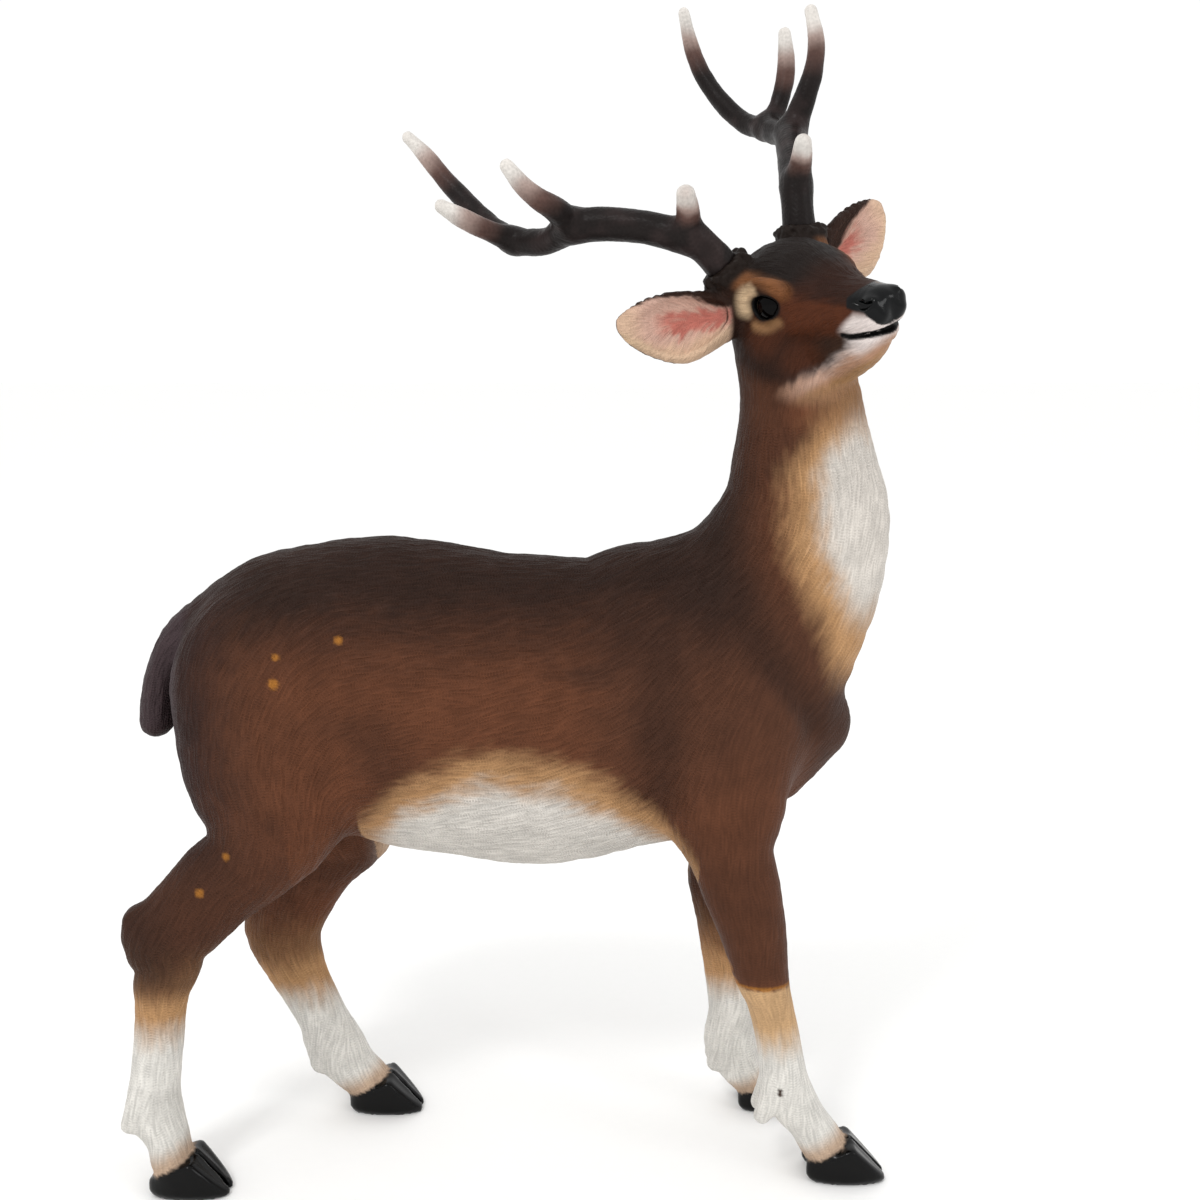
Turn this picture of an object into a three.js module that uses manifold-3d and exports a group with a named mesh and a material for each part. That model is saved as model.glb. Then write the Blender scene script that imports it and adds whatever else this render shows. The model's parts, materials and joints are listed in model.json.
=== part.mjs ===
// A standing stag figurine, cast in resin and painted, with two antlers cast apart and seated in the head.
// Millimetres, +Z up. The stag walks towards +X and its left side is +Y. It looks back over its right
// shoulder a little, so the head turns towards -Y. The origin is on the ground, under the middle of its box.
//
// The body is one smooth form. Each limb is a tube with an oval section that runs through a few stations,
// each station being a place and two half widths. The tubes flow into one another, folds are pressed in,
// and the surface of the whole is then covered with facets, wide on the flanks and fine on the head.
import * as THREE from "three";
import Module from "manifold-3d";
import { mergeVertices } from "three/addons/utils/BufferGeometryUtils.js";

const wasm = await Module();
wasm.setup();

// Driving dimensions in millimetres. The pose and the carving are written for a stag of DRAWN_HEIGHT, from
// the ground to its highest antler tip, and every station is multiplied by the share that FIGURE_HEIGHT is
// of it.
const FIGURE_HEIGHT = 605;
const DRAWN_HEIGHT = 605;
const HOOF_LENGTH = 42;
const CLAW_WIDTH = 16.5;
const CLAWS_APART = 11.5;
const CLEFT_WIDTH = 2.4;
const HEEL_HEIGHT = 9;
const EYE_DIAMETER = 14;
const BURR_DIAMETER = 22.5;
const ANTLER_ROOT_DIAMETER = 17;
const SOCKET_DEPTH = 4;
const SEAT_GAP = 0.3;

// How finely the forms are faceted.
const BODY_CELL = 4;
const ANTLER_CELL = 3;
const BODY_TRIANGLES = 7000;
const ANTLER_TRIANGLES = 1050;
const SEAT_SIDES = 16;
const NECK_TOP = 385;
const HEAD_FINENESS = 40;
const PASTERN_TOP = 32;
const HOOF_FINENESS = 12;

const SHARE = FIGURE_HEIGHT / DRAWN_HEIGHT;
const ACROSS = [0, 1, 0];

// Small vector helpers on plain arrays.
const plus = (a, b, k = 1) => a.map((value, i) => value + b[i] * k);
const dot = (a, b) => a[0] * b[0] + a[1] * b[1] + a[2] * b[2];
const cross = (a, b) => [a[1] * b[2] - a[2] * b[1], a[2] * b[0] - a[0] * b[2], a[0] * b[1] - a[1] * b[0]];
const unit = (a) => a.map((value) => value / Math.hypot(...a));

// The head's own axes: out along the nose, to its left, and up through the crown. The place between the
// eyes is their origin.
const NOSEWARDS = unit([0.55, -0.82, -0.16]);
const HEAD_LEFT = unit(plus([0.798, 0.46, 0.389], NOSEWARDS, -dot([0.798, 0.46, 0.389], NOSEWARDS)));
const CROWNWARDS = cross(NOSEWARDS, HEAD_LEFT);
const BETWEEN_EYES = [97, -18, 445];
const onHead = (nose, left, crown) =>
  plus(plus(plus(BETWEEN_EYES, NOSEWARDS, nose), HEAD_LEFT, left), CROWNWARDS, crown);
const headStation = ([nose, left, crown, ...halves]) => [...onHead(nose, left, crown), ...halves];

// A tube's stations, joined by a smooth curve through each of them, with three steps to a span.
function smoothStations(stations, steps = 3) {
  const last = stations.length - 1;
  const before = stations[0].map((value, i) => 2 * value - stations[1][i]);
  const after = stations[last].map((value, i) => 2 * value - stations[last - 1][i]);
  const all = [before, ...stations, after];
  const curve = [];
  for (let span = 1; span <= last; span += 1)
    for (let step = 0; step < steps; step += 1) {
      const t = step / steps;
      const [a, b, c, d] = all.slice(span - 1, span + 3);
      curve.push(
        b.map(
          (value, i) =>
            0.5 *
            (2 * value +
              (c[i] - a[i]) * t +
              (2 * a[i] - 5 * value + 4 * c[i] - d[i]) * t * t +
              (3 * value - a[i] - 3 * c[i] + d[i]) * t * t * t),
        ),
      );
    }
  curve.push(stations[last]);
  return curve;
}

// The distance from a point to an oval of half widths r and s, where m lies along r and l along s.
function ovalDistance(m2, l2, r, s) {
  const [r2, s2] = [r * r, s * s];
  const near = Math.sqrt(m2 / r2 + l2 / s2);
  const slope = Math.sqrt(m2 / (r2 * r2) + l2 / (s2 * s2)) + 1e-9;
  return (near * (near - 1)) / slope;
}

// A form is a distance, the box that it can change, and how softly it joins what is there.
function boxAround(curve, margin) {
  const ends = (axis, way) => curve.map((station) => station[axis] + way * Math.max(...station.slice(3)));
  return {
    low: [0, 1, 2].map((axis) => Math.min(...ends(axis, -1)) - margin),
    high: [0, 1, 2].map((axis) => Math.max(...ends(axis, 1)) + margin),
  };
}

// How far along the stretch from a to b, as a share of it, the point x, y, z lies.
function shareAlong(a, b, x, y, z) {
  const [wayX, wayY, wayZ] = [b[0] - a[0], b[1] - a[1], b[2] - a[2]];
  const share =
    ((x - a[0]) * wayX + (y - a[1]) * wayY + (z - a[2]) * wayZ) / (wayX * wayX + wayY * wayY + wayZ * wayZ);
  return share < 0 ? 0 : share > 1 ? 1 : share;
}

// A tube through stations [x, y, z, half width, half width along "side"]. It is worked out as far as
// TUBE_REACH from its skin.
const TUBE_REACH = 14;
function tube(stations, { side = ACROSS, blend = 10, cut = false } = {}) {
  const curve = smoothStations(stations).map((station) => station.map((value) => value * SHARE));
  const softness = blend * SHARE;
  const distance = (x, y, z) => {
    let least = Infinity;
    for (let i = 0; i + 1 < curve.length; i += 1) {
      const a = curve[i];
      const b = curve[i + 1];
      const t = shareAlong(a, b, x, y, z);
      const offX = x - a[0] - (b[0] - a[0]) * t;
      const offY = y - a[1] - (b[1] - a[1]) * t;
      const offZ = z - a[2] - (b[2] - a[2]) * t;
      const beside = offX * side[0] + offY * side[1] + offZ * side[2];
      const rest = Math.max(0, offX * offX + offY * offY + offZ * offZ - beside * beside);
      const here = ovalDistance(rest, beside * beside, a[3] + t * (b[3] - a[3]), a[4] + t * (b[4] - a[4]));
      if (here < least) least = here;
    }
    return least;
  };
  return { distance, softness, cut, ...boxAround(curve, softness + TUBE_REACH * SHARE) };
}

// A fold pressed in along stations [x, y, z], "depth" deep in its middle. A negative depth raises a ridge.
function fold(points, { depth, width }) {
  const curve = smoothStations(points).map((point) => point.map((value) => value * SHARE));
  const wide = width * SHARE;
  const press = (x, y, z) => {
    let least = Infinity;
    for (let i = 0; i + 1 < curve.length; i += 1) {
      const [a, b] = [curve[i], curve[i + 1]];
      const t = shareAlong(a, b, x, y, z);
      const off = a.map((value, axis) => [x, y, z][axis] - value - (b[axis] - value) * t);
      least = Math.min(least, dot(off, off));
    }
    return depth * SHARE * Math.exp(-least / (wide * wide));
  };
  return { press, ...boxAround(curve.map((point) => [...point, 0]), 3 * wide) };
}

const bothSides = (rows) => [1, -1].map((way) => rows.map(([x, y, z, ...rest]) => [x, y * way, z, ...rest]));

// Trunk, neck, breast and tail.
const trunk = [
  tube([
    [-150, 0, 261, 57.5, 49],
    [-106, 0, 247.6, 77.1, 53],
    [-60, 0, 239.4, 77.9, 53],
    [-30, 0, 236.4, 78.9, 52],
    [8, 0, 239.5, 73.7, 50],
    [38, 0, 247.4, 75.8, 46],
    [66, 0, 243, 55, 38],
  ]),
  tube(
    [
      [66, 0, 262, 57, 42],
      [89.6, 0, 301, 49.4, 38],
      [101, 0, 331, 42.3, 34],
      [101, 0, 353, 36.9, 31],
      [99.6, 0, 375, 32, 29],
      [97.3, 0, 397, 29, 27],
      [90, -2, 425, 26, 26],
    ],
    { blend: 14 },
  ),
  tube(
    [
      [86, 0, 212, 21, 18],
      [100, 0, 224, 19, 16],
      [109, 0, 229, 17, 14],
    ],
    { blend: 10 },
  ),
  tube(
    [
      [-186, 0, 284, 17, 20],
      [-206, 0, 276, 11.5, 15],
      [-216, 0, 263, 9.5, 14],
      [-222, 0, 247, 8.6, 13],
      [-224, 0, 231.5, 8.5, 11],
    ],
    { blend: 6 },
  ),
];

// Legs, each from inside the trunk down to its pastern.
const legs = [
  tube(
    [
      [-164, -26, 252, 45, 27],
      [-163.5, -27, 218, 41.4, 28],
      [-159.3, -29, 195, 35.3, 26],
      [-169, -32, 172, 24.3, 21],
      [-186, -35, 158.5, 22.3, 18],
      [-200, -39, 144, 21, 16],
      [-212.6, -41, 131, 20.2, 14],
      [-211, -42, 121, 16.2, 13],
      [-214.8, -42, 109, 14.3, 12],
      [-216, -42, 97, 12.5, 12],
      [-218.7, -42, 75, 12, 11],
      [-221.2, -42, 54, 12.3, 12],
      [-220.7, -42, 41, 13, 13],
      [-216, -42, 28, 10.6, 12],
      [-214.3, -42, 18, 10.3, 13],
      [-212.5, -42, 11, 9.5, 12.5],
    ],
    { blend: 12 },
  ),
  tube(
    [
      [-227, -42, 141, 5, 5],
      [-220, -42, 131, 10, 8],
    ],
    { blend: 8 },
  ),
  tube(
    [
      [-167, 26, 241, 48, 27],
      [-163, 27, 209, 45, 26],
      [-146, 29, 181, 36, 24],
      [-138, 32, 169, 29, 21],
      [-152, 35, 148, 23, 18],
      [-165.8, 39, 124, 21, 16],
      [-173, 41, 106, 21, 14],
      [-169.7, 42, 90, 17.4, 13],
      [-162.3, 42, 72, 14.5, 12],
      [-153, 42, 53, 13.6, 11],
      [-147, 42, 38, 16, 12],
      [-137.5, 42, 24.6, 13.2, 12.5],
      [-130.5, 43.5, 17, 12, 13],
      [-124.5, 44.5, 10, 10.5, 12.5],
    ],
    { blend: 12 },
  ),
  tube(
    [
      [61, -28, 228, 34, 20],
      [60.5, -32, 199, 30.5, 20],
      [63.4, -35, 177, 21.5, 18],
      [69.2, -37, 156, 19.2, 16],
      [75, -37, 135, 16.5, 15],
      [80, -36, 111, 13.5, 12.5],
      [84, -35, 98, 11.3, 11.5],
      [89, -34, 76, 11, 10.5],
      [92.5, -32, 55, 11.9, 12],
      [97.3, -30, 41.5, 12.3, 12.5],
      [105.3, -28.5, 29.6, 10.5, 12],
      [111.7, -27, 19.4, 11.3, 12.5],
      [116.3, -26.5, 12, 10.8, 13],
      [119.3, -26, 7.5, 10, 12.5],
    ],
    { blend: 12 },
  ),
  tube(
    [
      [61, 28, 214, 37, 20],
      [62, 30, 180, 30, 20],
      [66.8, 34, 151, 20.3, 16],
      [67.2, 37, 134, 19.2, 15],
      [69.5, 40, 110, 16.5, 14],
      [72, 42, 81, 14.5, 12],
      [73.3, 42, 58, 13.2, 11],
      [72, 42, 40, 14.4, 12],
      [77.5, 43, 27, 13, 12.5],
      [84.5, 44.5, 17, 11.2, 12.5],
      [90.5, 45.5, 10.5, 10.8, 13],
      [94, 45.5, 7, 10, 12.5],
    ],
    { blend: 12 },
  ),
];

// Dew claws behind each fetlock, a pair of blunt spurs.
const FETLOCKS = [
  [-237.4, -42, 38],
  [-159.3, 42, 29],
  [76.3, -31, 37.4],
  [58.3, 42, 29.5],
];
const dewClaws = FETLOCKS.flatMap(([x, y, z]) =>
  [-7, 7].map((aside) =>
    tube(
      [
        [x + 12, y + aside, z + 14, 7, 5],
        [x + 5, y + aside, z, 4.5, 4.5],
      ],
      { blend: 5 },
    ),
  ),
);

// Head, built along the nose: skull and bridge above, jaw below.
const muzzle = [
  tube(
    [
      [-30, 0, -5, 17.5, 21],
      [-10, 0, -1, 23, 26],
      [8, 0, -4, 20, 23],
      [25, 0, -5, 14, 17],
      [40, 0, -4.4, 12.1, 14.5],
      [49.4, 0, -3.4, 10.8, 12.5],
    ].map(headStation),
    { side: HEAD_LEFT, blend: 8 },
  ),
  tube(
    [
      [-22, 0, -26, 26, 20],
      [0, 0, -26, 25, 19],
      [20, 0, -23, 19, 16],
      [36, 0, -19, 12.5, 12],
      [46, 0, -15.2, 5.8, 9],
    ].map(headStation),
    { side: HEAD_LEFT, blend: 4 },
  ),
];

// What the head has on each side. "way" is 1 on its left and -1 on its right.
const EAR_FRONT = [0.85, 0.3, 0.3];
// How much the right ear's tip is raised and the left one's lowered.
const EAR_TILT = 1.6;
function headSide(way) {
  const root = onHead(-24, way * 26, 0);
  const tip = onHead(-36, way * 86, 10 - way * EAR_TILT);
  const along = unit(plus(tip, root, -1));
  const length = Math.hypot(...plus(tip, root, -1));
  const front = onHead(EAR_FRONT[0], EAR_FRONT[1] * way, EAR_FRONT[2]);
  const facing = plus(front, BETWEEN_EYES, -1);
  const opening = unit(plus(facing, along, -dot(facing, along)));
  const rim = cross(along, opening);
  const down = dot(rim, CROWNWARDS) > 0 ? rim.map((value) => -value) : rim;
  const earStation = (forward) => ([share, drop, thick, wide]) => [
    ...plus(plus(plus(root, along, share * length), down, drop), opening, forward),
    thick,
    wide,
  ];
  const ear = [
    [0, 5.3, 8, 10.7],
    [0.2, 6.4, 9, 13.9],
    [0.45, 7.5, 8.5, 17.2],
    [0.68, 5.6, 6.5, 14.6],
    [0.86, 3.4, 4, 8.8],
    [0.94, 1.6, 2, 4],
  ];
  const cup = [
    [0.18, 4.4, 5, 6.5],
    [0.3, 6.2, 7.5, 10.4],
    [0.5, 6.8, 8, 13.5],
    [0.68, 5.6, 6.5, 11.8],
    [0.84, 3.4, 4, 6.9],
  ];
  const halfEye = EYE_DIAMETER / 2 / SHARE;
  const halfBurr = BURR_DIAMETER / 2 / SHARE;
  const placed = (rows) =>
    rows.map(([nose, left, crown, ...halves]) => headStation([nose, left * way, crown, ...halves]));
  const pedicle = [
    [-17, 18, 2, 11.5, 12.5],
    [-27.3, 23.9, 15.2, halfBurr, halfBurr],
  ];
  const brow = [
    [10, 22, 9, 4, 3],
    [0, 25, 11, 4, 3],
    [-11, 25, 8, 4, 3],
  ];
  const eyeball = placed([
    [0, 21, 0, halfEye, halfEye],
    [0, 21.5, 0, halfEye, halfEye],
  ]);
  const nostril = [
    [56, 8, 1],
    [51, 11, 3],
  ];
  const mouth = [
    [57, 3, -10],
    [50, 10, -10],
    [41, 14, -12],
  ];
  return [
    tube(ear.map(earStation(0)), { side: down, blend: 3 }),
    tube(cup.map(earStation(6)), { side: down, blend: 2, cut: true }),
    tube(placed(pedicle), { side: HEAD_LEFT, blend: 3 }),
    tube(placed(brow), { side: HEAD_LEFT, blend: 5 }),
    tube(eyeball, { side: HEAD_LEFT, blend: 1 }),
    fold(placed(nostril), { depth: 3, width: 3 }),
    fold(placed(mouth), { depth: 2.5, width: 2 }),
  ];
}

// Folds on the flanks, mirrored: behind the shoulder, between neck and shoulder, and in front of the thigh.
const folds = [
  ...bothSides([
    [28, 50, 281],
    [31, 52, 262],
    [29, 51, 240],
    [30, 49, 216],
    [27, 44, 200],
  ]).map((points) => fold(points, { depth: 3.2, width: 7 })),
  ...bothSides([
    [66, 42, 297],
    [78, 42, 275],
    [92, 36, 255],
    [104, 28, 236],
  ]).map((points) => fold(points, { depth: 3, width: 7 })),
  ...bothSides([
    [-107, 52, 233],
    [-99, 50, 214],
    [-98, 44, 192],
    [-104, 38, 176],
  ]).map((points) => fold(points, { depth: 3.5, width: 8 })),
  ...bothSides([
    [119, 26, 258],
    [126, 12, 250],
    [128, 0, 247],
  ]).map((points) => fold(points, { depth: 3, width: 5 })),
];

// One claw of a cloven hoof: an oval column with its toe and the edge of its sole bevelled off and its top
// cut along the coronet. The two claws of a hoof meet towards the toe, and all hooves turn a little right.
const HOOVES = [
  [-203.8, -42],
  [-117.5, 43.5],
  [125.5, -28],
  [97.5, 45.5],
];
const CORONET_SLOPE = 0.5;
const TOE_SLANT = 1;
const TOE_HEIGHT = 1;
const TOES_MEET = 0.14;
const TURN_RIGHT = 0.14;
const SOLE_BEVEL = 3;
const BEVEL_SHARE = 0.75;
const CLAW_TOP = 40;
const CLAW_FLOOR = -10;
function claw(x, y, way) {
  const half = HOOF_LENGTH / 2;
  const narrow = CLAW_WIDTH / 2;
  const distance = (px, py, pz) => {
    const dx = px - x;
    const dy = py - y + (TURN_RIGHT + way * TOES_MEET) * dx;
    const bevel = Math.max(SOLE_BEVEL - pz, 0) * BEVEL_SHARE;
    const column = ovalDistance(dx * dx, dy * dy, half, narrow) + bevel;
    const toe = (dx - half + (pz - TOE_HEIGHT) * TOE_SLANT) / Math.hypot(1, TOE_SLANT);
    const top = (pz - HEEL_HEIGHT - (dx + half) * CORONET_SLOPE) / Math.hypot(1, CORONET_SLOPE);
    return Math.max(softMax(softMax(column, toe, 3), top, 2), CLAW_FLOOR - pz);
  };
  const reach = half + TUBE_REACH;
  return {
    distance,
    softness: 2.5,
    cut: false,
    low: [x - reach, y - reach, CLAW_FLOOR - TUBE_REACH],
    high: [x + reach, y + reach, CLAW_TOP],
  };
}
const hooves = HOOVES.flatMap(([x, y]) =>
  [-1, 1].map((way) => claw(x * SHARE, y * SHARE + (way * CLAWS_APART) / 2, way)),
);

// The cleft between the two claws of a hoof: a wedge that is widest at the toe and ends at the heel.
function cleft([x, y]) {
  const outline = new THREE.Shape();
  outline.moveTo(-HOOF_LENGTH / 4, 0);
  outline.lineTo(HOOF_LENGTH, -CLEFT_WIDTH);
  outline.lineTo(HOOF_LENGTH, CLEFT_WIDTH);
  const wedge = new THREE.ExtrudeGeometry(outline, { depth: 3 * HEEL_HEIGHT, bevelEnabled: false });
  wedge.rotateZ(-Math.atan(TURN_RIGHT));
  wedge.translate(x * SHARE, y * SHARE, -HEEL_HEIGHT);
  return solidOfGeometry(wedge);
}

function softMin(a, b, k) {
  const h = Math.max(k - Math.abs(a - b), 0) / k;
  return Math.min(a, b) - (h * h * k) / 4;
}
function softMax(a, b, k) {
  return -softMin(-a, -b, k);
}

// Works the forms out, in order, on a block of points "cell" apart, each form only inside its own box.
function worked(forms, low, high, cell) {
  const count = [0, 1, 2].map((i) => Math.ceil((high[i] - low[i]) / cell) + 1);
  const value = new Float64Array(count[0] * count[1] * count[2]).fill(1e3);
  for (const form of forms) {
    const first = [0, 1, 2].map((i) => Math.max(0, Math.ceil((form.low[i] - low[i]) / cell)));
    const end = [0, 1, 2].map((i) => Math.min(count[i] - 1, Math.floor((form.high[i] - low[i]) / cell)));
    for (let i = first[0]; i <= end[0]; i += 1)
      for (let j = first[1]; j <= end[1]; j += 1)
        for (let k = first[2]; k <= end[2]; k += 1) {
          const at = (i * count[1] + j) * count[2] + k;
          const [x, y, z] = [low[0] + i * cell, low[1] + j * cell, low[2] + k * cell];
          if (form.press) value[at] += form.press(x, y, z);
          else if (form.cut) value[at] = softMax(value[at], -form.distance(x, y, z), form.softness);
          else value[at] = softMin(value[at], form.distance(x, y, z), form.softness);
        }
  }
  return { value, count, low, cell };
}

// The eight corners of a cell are sound when those inside hang together along its edges, and those outside
// do too. Only then does the surface pass the cell once.
const CORNERS = [...Array(8).keys()];
function hangTogether(corners) {
  const reached = new Set(corners.slice(0, 1));
  for (let pass = 0; pass < corners.length; pass += 1)
    for (const corner of corners) if ([1, 2, 4].some((bit) => reached.has(corner ^ bit))) reached.add(corner);
  return reached.size === corners.length;
}
const SOUND = Array.from({ length: 256 }, (_, signs) =>
  [0, 1].every((side) => hangTogether(CORNERS.filter((corner) => ((signs >> corner) & 1) === side))),
);

// Fills the least corner of each unsound cell, until every cell is sound.
function mended(block) {
  const { value, count } = block;
  const step = [count[1] * count[2], count[2], 1];
  const offset = CORNERS.map((corner) => dot([corner & 1, (corner >> 1) & 1, corner >> 2], step));
  let changed = true;
  while (changed) {
    changed = false;
    for (let i = 0; i + 1 < count[0]; i += 1)
      for (let j = 0; j + 1 < count[1]; j += 1)
        for (let at = i * step[0] + j * step[1]; at + 1 < i * step[0] + (j + 1) * step[1]; at += 1) {
          let signs = 0;
          for (const corner of CORNERS) if (value[at + offset[corner]] < 0) signs |= 1 << corner;
          if (SOUND[signs]) continue;
          const outside = offset.map((n) => at + n).filter((n) => value[n] >= 0);
          value[outside.reduce((a, b) => (value[a] < value[b] ? a : b))] = -1e-3;
          changed = true;
        }
  }
  return block;
}

// Covers the surface where the value is zero: one vertex in each cell that it passes, at the middle of the
// places where it crosses the cell's edges, and one four-sided face round each edge that it crosses.
function covered({ value, count, low, cell }) {
  const index = (i, j, k) => (i * count[1] + j) * count[2] + k;
  const step = [count[1] * count[2], count[2], 1];
  const vertexOf = new Int32Array(value.length).fill(-1);
  const points = [];
  for (let i = 0; i + 1 < count[0]; i += 1)
    for (let j = 0; j + 1 < count[1]; j += 1)
      for (let k = 0; k + 1 < count[2]; k += 1) {
        const sum = [0, 0, 0];
        let crossings = 0;
        for (let axis = 0; axis < 3; axis += 1)
          for (let corner = 0; corner < 4; corner += 1) {
            const at = [0, 0, 0];
            at[(axis + 1) % 3] = corner & 1;
            at[(axis + 2) % 3] = corner >> 1;
            const start = index(i + at[0], j + at[1], k + at[2]);
            const [a, b] = [value[start], value[start + step[axis]]];
            if (a < 0 === b < 0) continue;
            at[axis] += a / (a - b);
            for (let n = 0; n < 3; n += 1) sum[n] += at[n];
            crossings += 1;
          }
        if (!crossings) continue;
        vertexOf[index(i, j, k)] = points.length;
        points.push([i, j, k].map((n, axis) => low[axis] + (n + sum[axis] / crossings) * cell));
      }
  const faces = [];
  for (let i = 1; i + 1 < count[0]; i += 1)
    for (let j = 1; j + 1 < count[1]; j += 1)
      for (let k = 1; k + 1 < count[2]; k += 1)
        for (let axis = 0; axis < 3; axis += 1) {
          const at = index(i, j, k);
          const inside = value[at] < 0;
          if (inside === value[at + step[axis]] < 0) continue;
          const [b, c] = [step[(axis + 1) % 3], step[(axis + 2) % 3]];
          const ring = [at - b - c, at - c, at, at - b].map((n) => vertexOf[n]);
          if (!inside) ring.reverse();
          faces.push([ring[0], ring[1], ring[2]], [ring[0], ring[2], ring[3]]);
        }
  return { points, faces };
}

// Takes edges away until "wanted" triangles are left, those first whose loss moves the surface least.
// "fineness" says how much more a place is worth than the plain flank.
function thinned({ points, faces }, wanted, fineness) {
  const around = points.map(() => new Set());
  faces.forEach((face, n) => face.forEach((v) => around[v].add(n)));
  const normalOf = ([a, b, c]) => cross(plus(b, a, -1), plus(c, a, -1));
  const bends = points.map(() => new Float64Array(10));
  faces.forEach((face) => {
    const corners = face.map((v) => points[v]);
    const area = Math.hypot(...normalOf(corners)) + 1e-12;
    const [x, y, z] = normalOf(corners).map((value) => value / area);
    const d = -dot([x, y, z], corners[0]);
    const plane = [x * x, x * y, x * z, x * d, y * y, y * z, y * d, z * z, z * d, d * d];
    const weight = area * fineness(corners[0]);
    face.forEach((v) => plane.forEach((value, i) => (bends[v][i] += value * weight)));
  });
  // The best place for the one vertex that two become, pulled a little towards their middle.
  const best = (u, v) => {
    const q = bends[u].map((value, i) => value + bends[v][i]);
    const middle = points[u].map((value, i) => (value + points[v][i]) / 2);
    const pull = 0.003 * (q[0] + q[4] + q[7]) + 1e-9;
    const rows = [
      [q[0] + pull, q[1], q[2]],
      [q[1], q[4] + pull, q[5]],
      [q[2], q[5], q[7] + pull],
    ];
    const right = [-q[3], -q[6], -q[8]].map((value, i) => value + pull * middle[i]);
    const whole = dot(rows[0], cross(rows[1], rows[2]));
    const p = [
      dot(right, cross(rows[1], rows[2])) / whole,
      dot(rows[0], cross(right, rows[2])) / whole,
      dot(rows[0], cross(rows[1], right)) / whole,
    ];
    const [x, y, z] = p;
    const error =
      q[0] * x * x + q[4] * y * y + q[7] * z * z + q[9] +
      2 * (q[1] * x * y + q[2] * x * z + q[5] * y * z + q[3] * x + q[6] * y + q[8] * z);
    return { p, cost: error + pull * dot(plus(p, middle, -1), plus(p, middle, -1)) };
  };
  const neighbours = (v) => new Set([...around[v]].flatMap((n) => faces[n]).filter((w) => w !== v));
  const turnsOver = (v, other, p) =>
    [...around[v]].some((n) => {
      if (faces[n].includes(other)) return false;
      const old = normalOf(faces[n].map((w) => points[w]));
      const now = normalOf(faces[n].map((w) => (w === v ? p : points[w])));
      return dot(old, now) < 0.4 * Math.hypot(...old) * Math.hypot(...now) || Math.hypot(...now) < 1e-6;
    });
  let left = faces.length;
  while (left > wanted) {
    const edges = [];
    faces.forEach((face) => {
      if (face) face.forEach((u, i) => face[(i + 1) % 3] > u && edges.push([u, face[(i + 1) % 3]]));
    });
    const ranked = edges.map(([u, v]) => ({ u, v, ...best(u, v) })).sort((a, b) => a.cost - b.cost);
    const touched = new Set();
    const before = left;
    const goal = Math.max(wanted, left * 0.7);
    for (const { u, v, p } of ranked) {
      if (left <= goal) break;
      if (touched.has(u) || touched.has(v)) continue;
      const [nearU, nearV] = [neighbours(u), neighbours(v)];
      if ([...nearU].filter((w) => nearV.has(w)).length !== 2) continue;
      if (turnsOver(u, v, p) || turnsOver(v, u, p)) continue;
      points[u] = p;
      bends[u] = bends[u].map((value, i) => value + bends[v][i]);
      for (const n of [...around[v]]) {
        if (faces[n].includes(u)) {
          faces[n].forEach((w) => around[w].delete(n));
          faces[n] = null;
          left -= 1;
        } else {
          faces[n] = faces[n].map((w) => (w === v ? u : w));
          around[u].add(n);
        }
      }
      [...nearU, ...nearV, u, v].forEach((w) => touched.add(w));
    }
    if (left === before) break;
  }
  return { points, faces: faces.filter(Boolean) };
}

// Solids from facets, and back again for three.js.
function solidOf({ points, faces }) {
  return new wasm.Manifold(
    new wasm.Mesh({
      numProp: 3,
      vertProperties: new Float32Array(points.flat()),
      triVerts: new Uint32Array(faces.flat()),
    }),
  );
}
function solidOfGeometry(geometry) {
  const bare = geometry.clone();
  bare.deleteAttribute("normal");
  bare.deleteAttribute("uv");
  const joined = mergeVertices(bare, 1e-4);
  return new wasm.Manifold(
    new wasm.Mesh({
      numProp: 3,
      vertProperties: new Float32Array(joined.attributes.position.array),
      triVerts: new Uint32Array(joined.index.array),
    }),
  );
}
function geometryOf(solid) {
  const mesh = solid.getMesh();
  const geometry = new THREE.BufferGeometry();
  geometry.setAttribute("position", new THREE.BufferAttribute(Float32Array.from(mesh.vertProperties), 3));
  geometry.setIndex(new THREE.BufferAttribute(Uint32Array.from(mesh.triVerts), 1));
  return geometry;
}

// The facets of a set of forms, inside the box that holds them all.
function facetsOf(forms, cell, wanted, fineness) {
  const bulk = forms.filter((form) => !form.press && !form.cut);
  const low = [0, 1, 2].map((i) => Math.min(...bulk.map((form) => form.low[i])));
  const high = [0, 1, 2].map((i) => Math.max(...bulk.map((form) => form.high[i])));
  return thinned(covered(mended(worked(forms, low, high, cell * SHARE))), wanted, fineness);
}

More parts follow.
